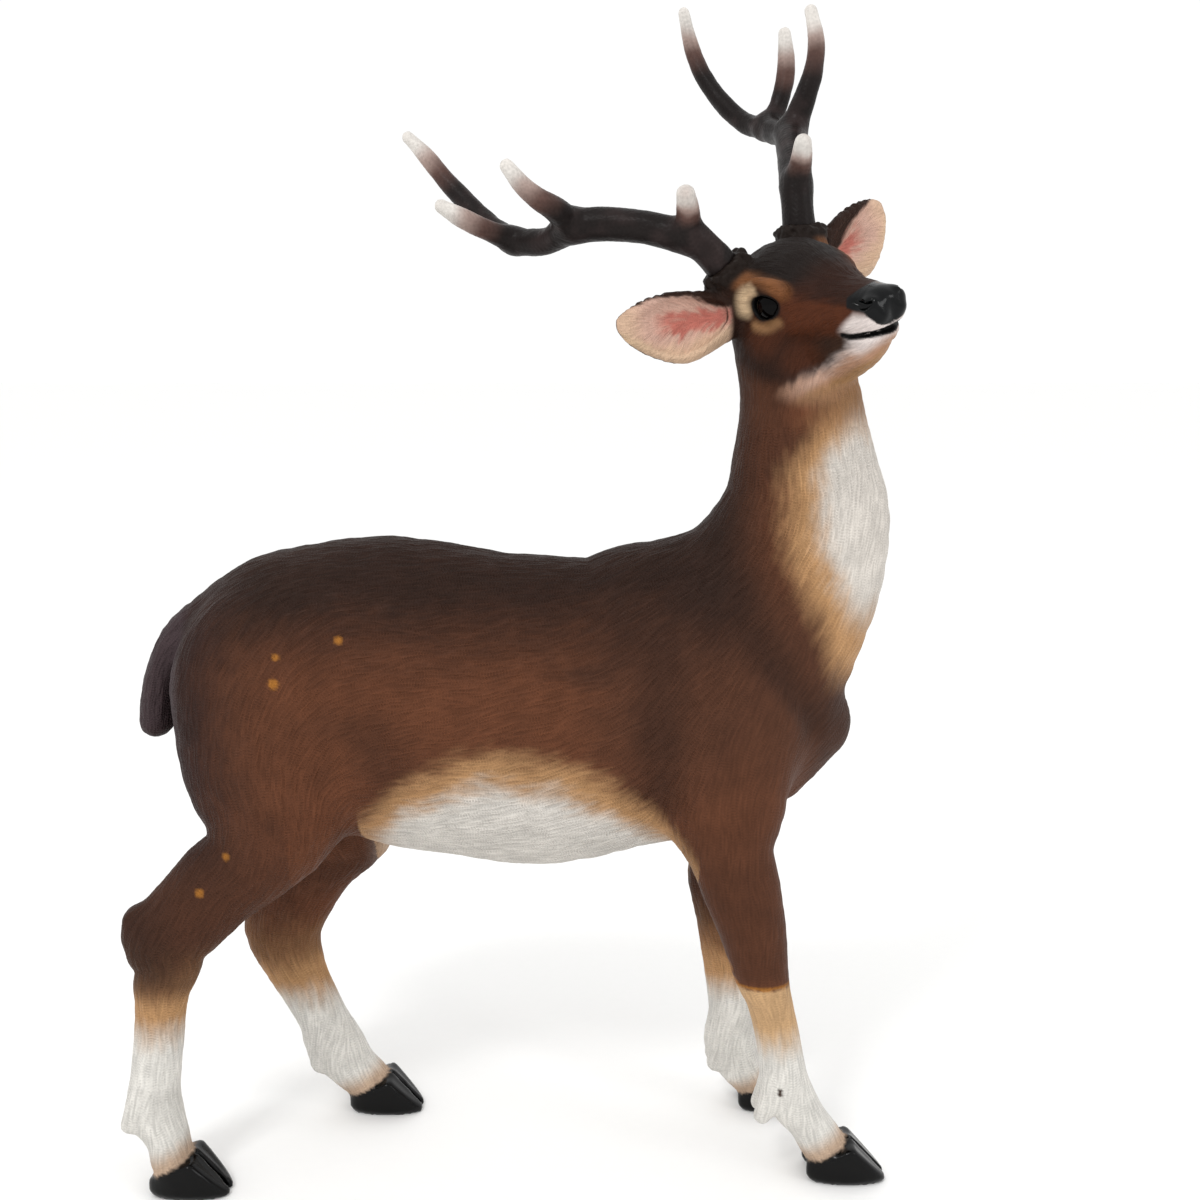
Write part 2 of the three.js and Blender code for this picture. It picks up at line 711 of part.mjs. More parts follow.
// The antler, in the head's axes as [nose, left, crown, half width, lift]. The two are not true mirror
// images: at each place the left one stands "lift" higher than this line and the right one as much lower.
const ANTLER = {
  beam: [
    [-27.3, 23.9, 15.2, 8.3, 0],
    [-30.5, 28, 25.3, 7.8, 0],
    [-36, 34, 34.2, 8, 0.8],
    [-56, 51, 43.3, 7.8, -1],
    [-77, 68.5, 47.5, 8.3, -1],
    [-90, 75, 43.8, 6.6, 0.7],
    [-102, 79, 42.5, 6.8, 1],
    [-115, 83, 43.3, 6.1, 0.6],
    [-133, 84, 46.9, 5.6, -2.1],
    [-151, 84.5, 58, 5.2, -2],
    [-165, 86, 71, 4.8, -1.5],
    [-174, 88.5, 85, 4.3, -0.1],
    [-179.5, 92, 98.5, 3.1, 4],
  ],
  brow: [
    [-35, 33.5, 35, 6, -1],
    [-30, 35, 48, 5.4, -1],
    [-27.4, 36, 56, 4.4, -0.3],
  ],
  middle: [
    [-77, 70, 48, 6.8, -1],
    [-73, 79, 61.5, 5.9, 0.5],
    [-72, 87, 71.5, 5, 2.5],
    [-72.9, 92.6, 82, 4.4, 4.5],
    [-76.5, 95.7, 93.8, 3.4, 6.5],
  ],
  crown: [
    [-114, 83, 43.5, 6.4, 0.5],
    [-114.8, 94, 51.5, 5, 0],
    [-116.5, 105, 64.5, 5, 2.5],
    [-121.2, 112.3, 77.5, 3.5, 7],
  ],
};
const SEAT = ANTLER.beam[0];
const SEAT_RISE = 2.5;
const SEAT_CLEARING = 8;
const ABOVE_BURR = [-33.9, 31.8, 35.7];
const seatPlace = (way, [nose, left, crown] = SEAT) => onHead(nose, left * way, crown);
const seatAxis = (way) => unit(plus(seatPlace(way, ABOVE_BURR), seatPlace(way), -1));

// A round column on the antler's root axis, from "from" to "to" above the burr's top face.
function seatColumn(way, diameter, from, to) {
  const axis = seatAxis(way);
  const top = plus(seatPlace(way), axis, SEAT_RISE).map((value) => value * SHARE);
  const column = new THREE.CylinderGeometry(diameter / 2, diameter / 2, to - from, SEAT_SIDES);
  const [upright, leaning] = [new THREE.Vector3(0, 1, 0), new THREE.Vector3(...axis)];
  column.applyQuaternion(new THREE.Quaternion().setFromUnitVectors(upright, leaning));
  column.translate(...plus(top, axis, (from + to) / 2));
  return solidOfGeometry(column);
}

function antler(way) {
  const tines = Object.entries(ANTLER).map(([name, rows]) =>
    tube(
      rows.map(([nose, left, crown, half, lift]) =>
        headStation([nose, left * way, crown + lift * way, half, half]),
      ),
      { blend: name === "beam" ? 1 : 5 },
    ),
  );
  const grown = solidOf(facetsOf(tines, ANTLER_CELL, ANTLER_TRIANGLES, () => 1));
  const below = seatColumn(way, 2 * BURR_DIAMETER, -BURR_DIAMETER, SEAT_GAP);
  const plug = seatColumn(way, ANTLER_ROOT_DIAMETER, SEAT_GAP - SOCKET_DEPTH, SEAT_GAP + 1);
  return grown.subtract(below).add(plug);
}

function body() {
  const forms = [
    ...trunk,
    ...legs,
    ...dewClaws,
    ...muzzle,
    ...headSide(1),
    ...headSide(-1),
    ...folds,
    ...hooves,
  ];
  const fineness = ([, , z]) =>
    z > NECK_TOP * SHARE ? HEAD_FINENESS : z < PASTERN_TOP * SHARE ? HOOF_FINENESS : 1;
  const cast = solidOf(facetsOf(forms, BODY_CELL, BODY_TRIANGLES, fineness));
  const ground = new THREE.BoxGeometry(2 * FIGURE_HEIGHT, 2 * FIGURE_HEIGHT, FIGURE_HEIGHT);
  ground.translate(0, 0, -FIGURE_HEIGHT / 2);
  const seats = [1, -1].flatMap((way) => [
    seatColumn(way, BURR_DIAMETER + SEAT_CLEARING, 0, BURR_DIAMETER),
    seatColumn(way, ANTLER_ROOT_DIAMETER + 2 * SEAT_GAP, -SOCKET_DEPTH, 1),
  ]);
  const cuts = [solidOfGeometry(ground), ...HOOVES.map(cleft), ...seats];
  return cuts.reduce((solid, cutter) => solid.subtract(cutter), cast);
}

const paintedResin = new THREE.MeshStandardMaterial({ color: 0x5a3322, roughness: 0.6, metalness: 0 });
const darkResin = new THREE.MeshStandardMaterial({ color: 0x2a1c1a, roughness: 0.5, metalness: 0 });

const deer = new THREE.Group();
function addPiece(name, solid, material) {
  const mesh = new THREE.Mesh(geometryOf(solid), material);
  mesh.name = name;
  deer.add(mesh);
}
addPiece("deer_body", body(), paintedResin);
addPiece("antler_left", antler(1), darkResin);
addPiece("antler_right", antler(-1), darkResin);

// The origin goes under the middle of the whole figure's box.
const middle = new THREE.Box3().setFromObject(deer).getCenter(new THREE.Vector3());
deer.position.set(-middle.x, -middle.y, 0);

export default deer;
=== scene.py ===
"""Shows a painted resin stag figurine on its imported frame, with its carved coat, its paint and a plain stage.

The stag's form is worked out in millimetres from the same stations as its solid, covered with fine facets,
carved with strokes of fur along each limb and painted by place. The result is moved onto the frame in metres.
"""
import json

import bpy
import numpy as np
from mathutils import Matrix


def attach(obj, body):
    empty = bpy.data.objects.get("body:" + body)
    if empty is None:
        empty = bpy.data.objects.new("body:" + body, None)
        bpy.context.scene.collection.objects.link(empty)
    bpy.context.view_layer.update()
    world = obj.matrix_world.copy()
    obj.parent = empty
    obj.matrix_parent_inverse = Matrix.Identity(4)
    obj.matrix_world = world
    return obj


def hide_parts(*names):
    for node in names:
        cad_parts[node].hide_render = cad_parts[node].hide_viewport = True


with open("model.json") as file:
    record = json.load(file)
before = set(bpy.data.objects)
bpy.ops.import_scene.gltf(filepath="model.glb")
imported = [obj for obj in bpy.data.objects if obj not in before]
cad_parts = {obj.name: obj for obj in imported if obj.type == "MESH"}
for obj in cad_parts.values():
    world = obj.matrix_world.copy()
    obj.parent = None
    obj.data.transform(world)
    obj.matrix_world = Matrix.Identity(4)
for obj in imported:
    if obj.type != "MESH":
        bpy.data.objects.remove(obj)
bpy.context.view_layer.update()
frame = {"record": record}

bl_info = {
    "name": "Painted resin stag",
    "version": (1, 0, 0),
    "blender": (4, 5, 0),
    "location": "3D View > Sidebar > Stag",
    "description": "Builds a painted resin stag figurine and its studio stage",
    "category": "Add Mesh",
}

MM = 0.001
ACROSS = (0.0, 1.0, 0.0)
HOOF_LENGTH = 42.0
CLAW_WIDTH = 16.5
CLAWS_APART = 11.5
CLEFT_WIDTH = 2.4
HEEL_HEIGHT = 9.0
EYE_DIAMETER = 15.6
BURR_DIAMETER = 22.5
CORONET_SLOPE = 0.5
TOE_SLANT = 1.0
TOE_HEIGHT = 1.0
TOES_MEET = 0.14
TURN_RIGHT = 0.14
SOLE_BEVEL = 3.0
BEVEL_SHARE = 0.75
EAR_TILT = 1.6
REACH = 14.0


def unit(v):
    """The vector or rows of vectors v, each made one long."""
    v = np.asarray(v, float)
    return v / (np.linalg.norm(v, axis=-1, keepdims=True) + 1e-12)


# The head's own axes: out along the nose, to its left, and up through the crown, from between the eyes.
NOSEWARDS = unit((0.55, -0.82, -0.16))
HEAD_LEFT = unit(np.array((0.798, 0.46, 0.389)) - NOSEWARDS * np.dot((0.798, 0.46, 0.389), NOSEWARDS))
CROWNWARDS = np.cross(NOSEWARDS, HEAD_LEFT)
HEAD_AXES = np.array([NOSEWARDS, HEAD_LEFT, CROWNWARDS])
BETWEEN_EYES = np.array((97.0, -18.0, 445.0))


def on_head(nose, left, crown):
    """A place on the head, from how far it lies along the head's three axes."""
    return BETWEEN_EYES + np.array((nose, left, crown)) @ HEAD_AXES


def placed(rows, way=1):
    """Stations in the head's axes, moved to where the head is. "way" is 1 on the left and -1 on the right."""
    return [(*on_head(row[0], row[1] * way, row[2]), *row[3:]) for row in rows]


def smooth(stations, steps=3):
    """A smooth curve through the stations, with three steps to a span."""
    p = np.asarray(stations, float)
    p = np.vstack([2 * p[0] - p[1], p, 2 * p[-1] - p[-2]])
    t = (np.arange(steps) / steps)[:, None]
    curve = []
    for a, b, c, d in zip(p[:-3], p[1:-2], p[2:-1], p[3:]):
        bend = (2 * a - 5 * b + 4 * c - d) * t**2 + (3 * b - a - 3 * c + d) * t**3
        curve.append(0.5 * (2 * b + (c - a) * t + bend))
    return np.vstack([*curve, p[-2:-1]])


def soft_min(a, b, k):
    """The lesser of a and b, rounded over a width of k where they meet."""
    h = np.maximum(k - np.abs(a - b), 0) / k
    return np.minimum(a, b) - h * h * k / 4


def soft_max(a, b, k):
    """The greater of a and b, rounded over a width of k where they meet."""
    return -soft_min(-a, -b, k)


def oval(m2, l2, r, s):
    """The distance to an oval of half widths r and s, from the squares of the offsets along each."""
    near = np.sqrt(m2 / r**2 + l2 / s**2)
    return near * (near - 1) / (np.sqrt(m2 / r**4 + l2 / s**4) + 1e-9)


class Tube:
    """A tube with an oval section through stations of x, y, z, half width and half width along "side"."""

    def __init__(self, stations, side=ACROSS, blend=10.0, cut=False, grain=1):
        self.curve = smooth(stations)
        self.side = np.asarray(side, float)
        self.blend, self.cut, self.grain = blend, cut, grain
        wide = self.curve[:, 3:].max(1)[:, None]
        self.low = (self.curve[:, :3] - wide).min(0) - blend - REACH
        self.high = (self.curve[:, :3] + wide).max(0) + blend + REACH

    def nearest(self, p):
        """The distance from each place to the tube, and the number of the stretch that is nearest."""
        least, stretch = np.full(len(p), np.inf), np.zeros(len(p), int)
        for i, (a, b) in enumerate(zip(self.curve[:-1], self.curve[1:])):
            way = b[:3] - a[:3]
            t = np.clip((p - a[:3]) @ way / (way @ way), 0, 1)
            off = p - a[:3] - t[:, None] * way
            l2 = (off @ self.side) ** 2
            m2 = np.maximum((off * off).sum(1) - l2, 0)
            here = oval(m2, l2, a[3] + t * (b[3] - a[3]), a[4] + t * (b[4] - a[4]))
            closer = here < least
            least[closer], stretch[closer] = here[closer], i
        return least, stretch

    def join(self, p, value):
        """The field after the tube has joined it or has been cut from it."""
        distance = self.nearest(p)[0]
        return soft_max(value, -distance, self.blend) if self.cut else soft_min(value, distance, self.blend)


class Fold:
    """A fold pressed in along a line, "depth" deep in its middle. A negative depth raises a ridge."""

    def __init__(self, points, depth, width):
        self.curve, self.depth, self.width = smooth(points), depth, width
        self.low, self.high = self.curve.min(0) - 3 * width, self.curve.max(0) + 3 * width

    def join(self, p, value):
        """The field after the fold is pressed into it."""
        least = np.full(len(p), np.inf)
        for a, b in zip(self.curve[:-1], self.curve[1:]):
            t = np.clip((p - a) @ (b - a) / ((b - a) @ (b - a)), 0, 1)
            off = p - a - t[:, None] * (b - a)
            least = np.minimum(least, (off * off).sum(1))
        return value + self.depth * np.exp(-least / self.width**2)


def hoof_top(x, z, hoof):
    """How far a place lies above the coronet, the slanting line where a hoof's horn begins."""
    return (z - HEEL_HEIGHT - (x - hoof[0] + HOOF_LENGTH / 2) * CORONET_SLOPE) / np.hypot(1, CORONET_SLOPE)


class Hoof:
    """A cloven hoof: two oval claws with bevelled toes, and a wedge between them that is open at the toe."""

    def __init__(self, x, y):
        self.x, self.y = x, y
        self.low = np.array((x - 34.0, y - 30.0, -20.0))
        self.high = np.array((x + 34.0, y + 30.0, 40.0))

    def join(self, p, value):
        """The field after both claws have joined it and the wedge is cut."""
        half = HOOF_LENGTH / 2
        dx, z = p[:, 0] - self.x, p[:, 2]
        aside = p[:, 1] - self.y + TURN_RIGHT * dx
        for way in (-1, 1):
            dy = aside - way * (CLAWS_APART / 2 - TOES_MEET * dx)
            toe = (dx - half + (z - TOE_HEIGHT) * TOE_SLANT) / np.hypot(1, TOE_SLANT)
            bevel = np.maximum(SOLE_BEVEL - z, 0) * BEVEL_SHARE
            column = soft_max(oval(dx * dx, dy * dy, half, CLAW_WIDTH / 2) + bevel, toe, 3)
            value = soft_min(value, soft_max(column, hoof_top(p[:, 0], z, (self.x,)), 2), 2.5)
        opening = np.maximum(dx + half / 2, 0) / (1.25 * HOOF_LENGTH) * CLEFT_WIDTH
        wedge = np.maximum(np.abs(aside) - opening, z - 20)
        wedge = np.where(dx > -half / 2, wedge, 1)
        return soft_max(value, -wedge, 0.8)


def about_axis(p, centre, axis):
    """How far each place lies along an axis from the centre, and how far out from the axis."""
    up = (p - centre) @ axis
    return up, np.linalg.norm(p - centre - up[:, None] * axis, axis=1)


class Seat:
    """The flat place on top of a burr where an antler stands: a round column above it is cut away."""

    def __init__(self, centre, axis, radius, tall):
        self.centre, self.axis, self.radius, self.tall = centre, axis, radius, tall
        self.low, self.high = centre - radius - tall, centre + radius + tall

    def join(self, p, value):
        """The field after the column is cut away."""
        up, out = about_axis(p, self.centre, self.axis)
        column = np.maximum(out - self.radius, np.abs(up - self.tall / 2) - self.tall / 2)
        return soft_max(value, -column, 0.6)


def both_sides(rows):
    """The rows as they are, and mirrored to the other side."""
    return [[(x, y * way, z, *rest) for x, y, z, *rest in rows] for way in (1, -1)]


TORSO = [
    (-150, 0, 261, 57.5, 49),
    (-106, 0, 247.6, 77.1, 53),
    (-60, 0, 239.4, 77.9, 53),
    (-30, 0, 236.4, 78.9, 52),
    (8, 0, 239.5, 73.7, 50),
    (38, 0, 247.4, 75.8, 46),
    (66, 0, 243, 55, 38),
]
NECK = [
    (66, 0, 262, 57, 42),
    (89.6, 0, 301, 49.4, 38),
    (101, 0, 331, 42.3, 34),
    (101, 0, 353, 36.9, 31),
    (99.6, 0, 375, 32, 29),
    (97.3, 0, 397, 29, 27),
    (90, -2, 425, 26, 26),
]
BREAST = [(86, 0, 212, 21, 18), (100, 0, 224, 19, 16), (109, 0, 229, 17, 14)]
TAIL = [
    (-186, 0, 284, 17, 20),
    (-206, 0, 276, 11.5, 15),
    (-216, 0, 263, 9.5, 14),
    (-222, 0, 247, 8.6, 13),
    (-224, 0, 231.5, 8.5, 11),
]
RIGHT_HIND = [
    (-164, -26, 252, 45, 27),
    (-163.5, -27, 218, 41.4, 28),
    (-159.3, -29, 195, 35.3, 26),
    (-169, -32, 172, 24.3, 21),
    (-186, -35, 158.5, 22.3, 18),
    (-200, -39, 144, 21, 16),
    (-212.6, -41, 131, 20.2, 14),
    (-211, -42, 121, 16.2, 13),
    (-214.8, -42, 109, 14.3, 12),
    (-216, -42, 97, 12.5, 12),
    (-218.7, -42, 75, 12, 11),
    (-221.2, -42, 54, 12.3, 12),
    (-220.7, -42, 41, 13, 13),
    (-216, -42, 28, 10.6, 12),
    (-214.3, -42, 18, 10.3, 13),
    (-212.5, -42, 11, 9.5, 12.5),
]
HOCK_POINT = [(-227, -42, 141, 5, 5), (-220, -42, 131, 10, 8)]
LEFT_HIND = [
    (-167, 26, 241, 48, 27),
    (-163, 27, 209, 45, 26),
    (-146, 29, 181, 36, 24),
    (-138, 32, 169, 29, 21),
    (-152, 35, 148, 23, 18),
    (-165.8, 39, 124, 21, 16),
    (-173, 41, 106, 21, 14),
    (-169.7, 42, 90, 17.4, 13),
    (-162.3, 42, 72, 14.5, 12),
    (-153, 42, 53, 13.6, 11),
    (-147, 42, 38, 16, 12),
    (-137.5, 42, 24.6, 13.2, 12.5),
    (-130.5, 43.5, 17, 12, 13),
    (-124.5, 44.5, 10, 10.5, 12.5),
]
RIGHT_FORE = [
    (61, -28, 228, 34, 20),
    (60.5, -32, 199, 30.5, 20),
    (63.4, -35, 177, 21.5, 18),
    (69.2, -37, 156, 19.2, 16),
    (75, -37, 135, 16.5, 15),
    (80, -36, 111, 13.5, 12.5),
    (84, -35, 98, 11.3, 11.5),
    (89, -34, 76, 11, 10.5),
    (92.5, -32, 55, 11.9, 12),
    (97.3, -30, 41.5, 12.3, 12.5),
    (105.3, -28.5, 29.6, 10.5, 12),
    (111.7, -27, 19.4, 11.3, 12.5),
    (116.3, -26.5, 12, 10.8, 13),
    (119.3, -26, 7.5, 10, 12.5),
]
LEFT_FORE = [
    (61, 28, 214, 37, 20),
    (62, 30, 180, 30, 20),
    (66.8, 34, 151, 20.3, 16),
    (67.2, 37, 134, 19.2, 15),
    (69.5, 40, 110, 16.5, 14),
    (72, 42, 81, 14.5, 12),
    (73.3, 42, 58, 13.2, 11),
    (72, 42, 40, 14.4, 12),
    (77.5, 43, 27, 13, 12.5),
    (84.5, 44.5, 17, 11.2, 12.5),
    (90.5, 45.5, 10.5, 10.8, 13),
    (94, 45.5, 7, 10, 12.5),
]
FETLOCKS = [(-237.4, -42, 38), (-159.3, 42, 29), (76.3, -31, 37.4), (58.3, 42, 29.5)]
SKULL = [
    (-30, 0, -5, 17.5, 21),
    (-10, 0, -1, 23, 26),
    (8, 0, -4, 20, 23),
    (25, 0, -5, 14, 17),
    (40, 0, -4.4, 12.1, 14.5),
    (49.4, 0, -3.4, 10.8, 12.5),
]
JAW = [
    (-22, 0, -26, 26, 20),
    (0, 0, -26, 25, 19),
    (20, 0, -23, 19, 16),
    (36, 0, -19, 12.5, 12),
    (46, 0, -15.2, 5.8, 9),
]
EAR_FRONT = (0.85, 0.3, 0.3)
# The ear and its cup, as share of the length, drop, half thickness and half width.
EAR = [
    (0, 5.3, 8, 10.7),
    (0.2, 6.4, 9, 13.9),
    (0.45, 7.5, 8.5, 17.2),
    (0.68, 5.6, 6.5, 14.6),
    (0.86, 3.4, 4, 8.8),
    (0.94, 1.6, 2, 4),
]
EAR_CUP = [
    (0.18, 4.4, 5, 6.5),
    (0.3, 6.2, 7.5, 10.4),
    (0.5, 6.8, 8, 13.5),
    (0.68, 5.6, 6.5, 11.8),
    (0.84, 3.4, 4, 6.9),
]
BEHIND_SHOULDER = [(28, 50, 281), (31, 52, 262), (29, 51, 240), (30, 49, 216), (27, 44, 200)]
NECK_CREASE = [(66, 42, 297), (78, 42, 275), (92, 36, 255), (104, 28, 236)]
STIFLE_FOLD = [(-107, 52, 233), (-99, 50, 214), (-98, 44, 192), (-104, 38, 176)]
BREAST_FOLD = [(119, 26, 258), (126, 12, 250), (128, 0, 247)]
HOOVES = [(-203.8, -42), (-117.5, 43.5), (125.5, -28), (97.5, 45.5)]

# The antler, in the head's axes as nose, left, crown, half width and lift. The left one stands "lift" higher
# than this line at each place, and the right one as much lower.
ANTLER = {
    "beam": [
        (-27.3, 23.9, 15.2, 8.3, 0),
        (-30.5, 28, 25.3, 7.8, 0),
        (-36, 34, 34.2, 8, 0.8),
        (-56, 51, 43.3, 7.8, -1),
        (-77, 68.5, 47.5, 8.3, -1),
        (-90, 75, 43.8, 6.6, 0.7),
        (-102, 79, 42.5, 6.8, 1),
        (-115, 83, 43.3, 6.1, 0.6),
        (-133, 84, 46.9, 5.6, -2.1),
        (-151, 84.5, 58, 5.2, -2),
        (-165, 86, 71, 4.8, -1.5),
        (-174, 88.5, 85, 4.3, -0.1),
        (-179.5, 92, 98.5, 3.1, 4),
    ],
    "brow": [(-35, 33.5, 35, 6, -1), (-30, 35, 48, 5.4, -1), (-27.4, 36, 56, 4.4, -0.3)],
    "middle": [
        (-77, 70, 48, 6.8, -1),
        (-73, 79, 61.5, 5.9, 0.5),
        (-72, 87, 71.5, 5, 2.5),
        (-72.9, 92.6, 82, 4.4, 4.5),
        (-76.5, 95.7, 93.8, 3.4, 6.5),
    ],
    "crown": [
        (-114, 83, 43.5, 6.4, 0.5),
        (-114.8, 94, 51.5, 5, 0),
        (-116.5, 105, 64.5, 5, 2.5),
        (-121.2, 112.3, 77.5, 3.5, 7),
    ],
}
SEAT_RISE = 2.5
SEAT_CLEARING = 8.0
ABOVE_BURR = (-33.9, 31.8, 35.7)


def seat(way):
    """The middle of a burr's flat top, and the direction in which its antler leaves it."""
    nose, left, crown = ANTLER["beam"][0][:3]
    root = on_head(nose, left * way, crown)
    axis = unit(on_head(ABOVE_BURR[0], ABOVE_BURR[1] * way, ABOVE_BURR[2]) - root)
    return root + axis * SEAT_RISE, axis


def ear_axes(way):
    """An ear's root, its direction and length, the way its edge drops, and the way its cup opens."""
    root = on_head(-24, way * 26, 0)
    along = on_head(-36, way * 86, 10 - way * EAR_TILT) - root
    length = np.linalg.norm(along)
    along = along / length
    facing = np.array((EAR_FRONT[0], EAR_FRONT[1] * way, EAR_FRONT[2])) @ HEAD_AXES
    opening = unit(facing - along * (along @ facing))
    rim = np.cross(along, opening)
    return root, along, length, -rim if rim @ CROWNWARDS > 0 else rim, opening


def ear_forms(way):
    """The ear and the cup that is hollowed from it."""
    root, along, length, down, opening = ear_axes(way)

    def stations(rows, forward):
        return [
            (*(root + along * share * length + down * drop + opening * forward), thick, wide)
            for share, drop, thick, wide in rows
        ]

    return [
        Tube(stations(EAR, 0), down, 3),
        Tube(stations(EAR_CUP, 6), down, 2, cut=True),
    ]


EYE_UP = unit(CROWNWARDS - 0.2 * NOSEWARDS)
# The brow stands out more on the right than on the left.
BROW = {
    -1: [(10, 22, 9, 4, 3), (0, 25, 11, 4, 3), (-11, 25, 8, 4, 3)],
    1: [(10, 18, 6, 3, 3), (0, 20, 7.5, 3, 3), (-11, 20.5, 6, 3, 3)],
}
TEAR = [(8, 26, 2.6), (10.5, 24.8, 3.6), (13, 23.2, 4.4)]
# The nostril and the mouth, in the head's axes, each with its half height and half depth.
NOSTRIL = [
    (44.5, 11.4, 3.6, 0.9, 1.6),
    (48.5, 11, 2.4, 1.7, 2.6),
    (52, 10, 1.8, 1.5, 2.6),
    (54.8, 8, 3.2, 0.9, 1.6),
]
LOWER_LIP = [(40, 9.3, -15.6, 2, 2.5), (48, 7, -15.2, 2.6, 3), (52.5, 1, -14.8, 3, 3.5)]
MOUTH = [
    (36, 12.6, -13.6, 0.25, 1),
    (40, 11.8, -13.7, 0.35, 2),
    (45.5, 10.4, -13, 0.5, 2.6),
    (50.4, 8.4, -11.9, 0.9, 3),
    (55, 4.5, -11, 1.7, 4),
    (55.5, -1, -10.8, 1.9, 4),
]


def head_side(way):
    """What the head has on one side: ear, burr, brow, eyelids, nostril and the corner of the mouth."""
    half_eye, half_burr = EYE_DIAMETER / 2, BURR_DIAMETER / 2
    burr_top, burr_axis = seat(way)
    lid = half_eye + 0.7
    turn = np.linspace(0, 2 * np.pi, 9)[:, None]
    aside = unit(np.cross(burr_axis, NOSEWARDS))
    ring = burr_top - 2.2 * burr_axis
    ring = ring + 10.6 * (np.cos(turn) * aside + np.sin(turn) * np.cross(burr_axis, aside))
    burr_root = [(-17, 18, 2, 11.5, 12.5), (-27.3, 23.9, 15.2, half_burr, half_burr)]
    nostril_rim = [(43, 12.5, 1.5), (48, 12.6, -1), (53, 11.6, -1.4), (56, 9.2, 1), (56, 7, 5)]
    return [
        *ear_forms(way),
        Tube(placed(burr_root, way), HEAD_LEFT, 3),
        Tube(placed(BROW[way], way), HEAD_LEFT, 5),
        Tube(placed([(0, 20, 0, lid, lid), (0, 20.6, 0, lid, lid)], way), HEAD_LEFT, 3, grain=0),
        Tube(placed([(0.6, 19, 0.6, 7.1, 5.5), (0.6, 36, 0.6, 7.1, 5.5)], way), EYE_UP, 0.7, cut=True),
        Fold(placed(TEAR, way), 1.5, 1.2),
        Fold(placed([(-10, 27.5, 5), (-5, 28, 9.5), (2, 27, 11.5), (10, 24, 9.5)], way), 1.0, 1.1),
        Fold(placed([(-14, 26.5, 9), (-5, 26.5, 14), (4, 25, 15)], way), 0.7, 1.1),
        Fold(placed([(-11, 28, -5), (-3, 27, -9), (6, 25, -7.5)], way), 0.8, 1.2),
        Tube(placed([(53, 7, 1.5, 3.6, 3.6), (55.4, 5.6, -3.5, 3.6, 3.6)], way), HEAD_LEFT, 2.5, grain=0),
        Fold(placed(nostril_rim, way), -0.6, 1.6),
        Tube(placed(NOSTRIL, way), HEAD_LEFT, 1, cut=True),
        Tube(placed(LOWER_LIP, way), HEAD_LEFT, 3, grain=0),
        Tube(placed(MOUTH, way), HEAD_LEFT, 0.8, cut=True),
        Fold(ring, -1.6, 2.6),
        Seat(burr_top, burr_axis, (BURR_DIAMETER + SEAT_CLEARING) / 2, BURR_DIAMETER),
    ]


def body_forms():
    """Every form of the cast body, in the order in which they join."""
    dew_claws = [
        Tube([(x + 12, y + way * 7, z + 14, 7, 5), (x + 5, y + way * 7, z, 4.5, 4.5)], ACROSS, 5)
        for x, y, z in FETLOCKS
        for way in (-1, 1)
    ]
    return [
        Tube(TORSO, grain=-1),
        Tube(NECK, blend=14, grain=-1),
        Tube(BREAST, grain=0),
        Tube(TAIL, blend=6),
        Tube(RIGHT_HIND, blend=12),
        Tube(HOCK_POINT, blend=8, grain=0),
        Tube(LEFT_HIND, blend=12),
        Tube(RIGHT_FORE, blend=12),
        Tube(LEFT_FORE, blend=12),
        *dew_claws,
        Tube(placed(SKULL), HEAD_LEFT, 8, grain=-1),
        Tube(placed(JAW), HEAD_LEFT, 4, grain=-1),
        Tube(placed([(78.6, -30, -3, 20, 20), (78.6, 30, -3, 20, 20)]), HEAD_LEFT, 4, cut=True),
        *head_side(1),
        *head_side(-1),
        Fold(placed([(58, 0, 5), (59, 0, 0), (58.5, 0, -7)]), 0.6, 1.4),
        *[Fold(points, 3.2, 7) for points in both_sides(BEHIND_SHOULDER)],
        *[Fold(points, 3, 7) for points in both_sides(NECK_CREASE)],
        *[Fold(points, 3.5, 8) for points in both_sides(STIFLE_FOLD)],
        *[Fold(points, 3, 5) for points in both_sides(BREAST_FOLD)],
        Fold(DENT_PLACES, 0.9, 1.0),
        *[Hoof(x, y) for x, y in HOOVES],
    ]


def antler_forms(way):
    """The beam and the tines of one antler."""
    forms = []
    for name, rows in ANTLER.items():
        lifted = [(nose, left, crown + lift * way, half, half) for nose, left, crown, half, lift in rows]
        forms.append(Tube(placed(lifted, way), blend=1 if name == "beam" else 5))
    return forms


def worked(forms, p):
    """The value of the joined forms at each place: under zero inside them and over zero outside."""
    value = np.full(len(p), 1e3)
    for form in forms:
        near = np.flatnonzero(((p > form.low) & (p < form.high)).all(1))
        if len(near):
            value[near] = form.join(p[near], value[near])
    return np.maximum(value, -p[:, 2])


def shifted(flags, move):
    """The flags, moved along by one cell on each axis where "move" is 1."""
    return np.pad(flags, [(one, 1 - one) for one in move])


def neighbours(values, axis):
    """The values behind and ahead along an axis, side by side."""
    count = values.shape[axis] - 1
    return values.take(range(count), axis), values.take(range(1, count + 1), axis)


# A first search uses cells this many times as wide, and keeps those whose corner is this many of them away.
COARSE_CELLS = 4
COARSE_REACH = 1.3


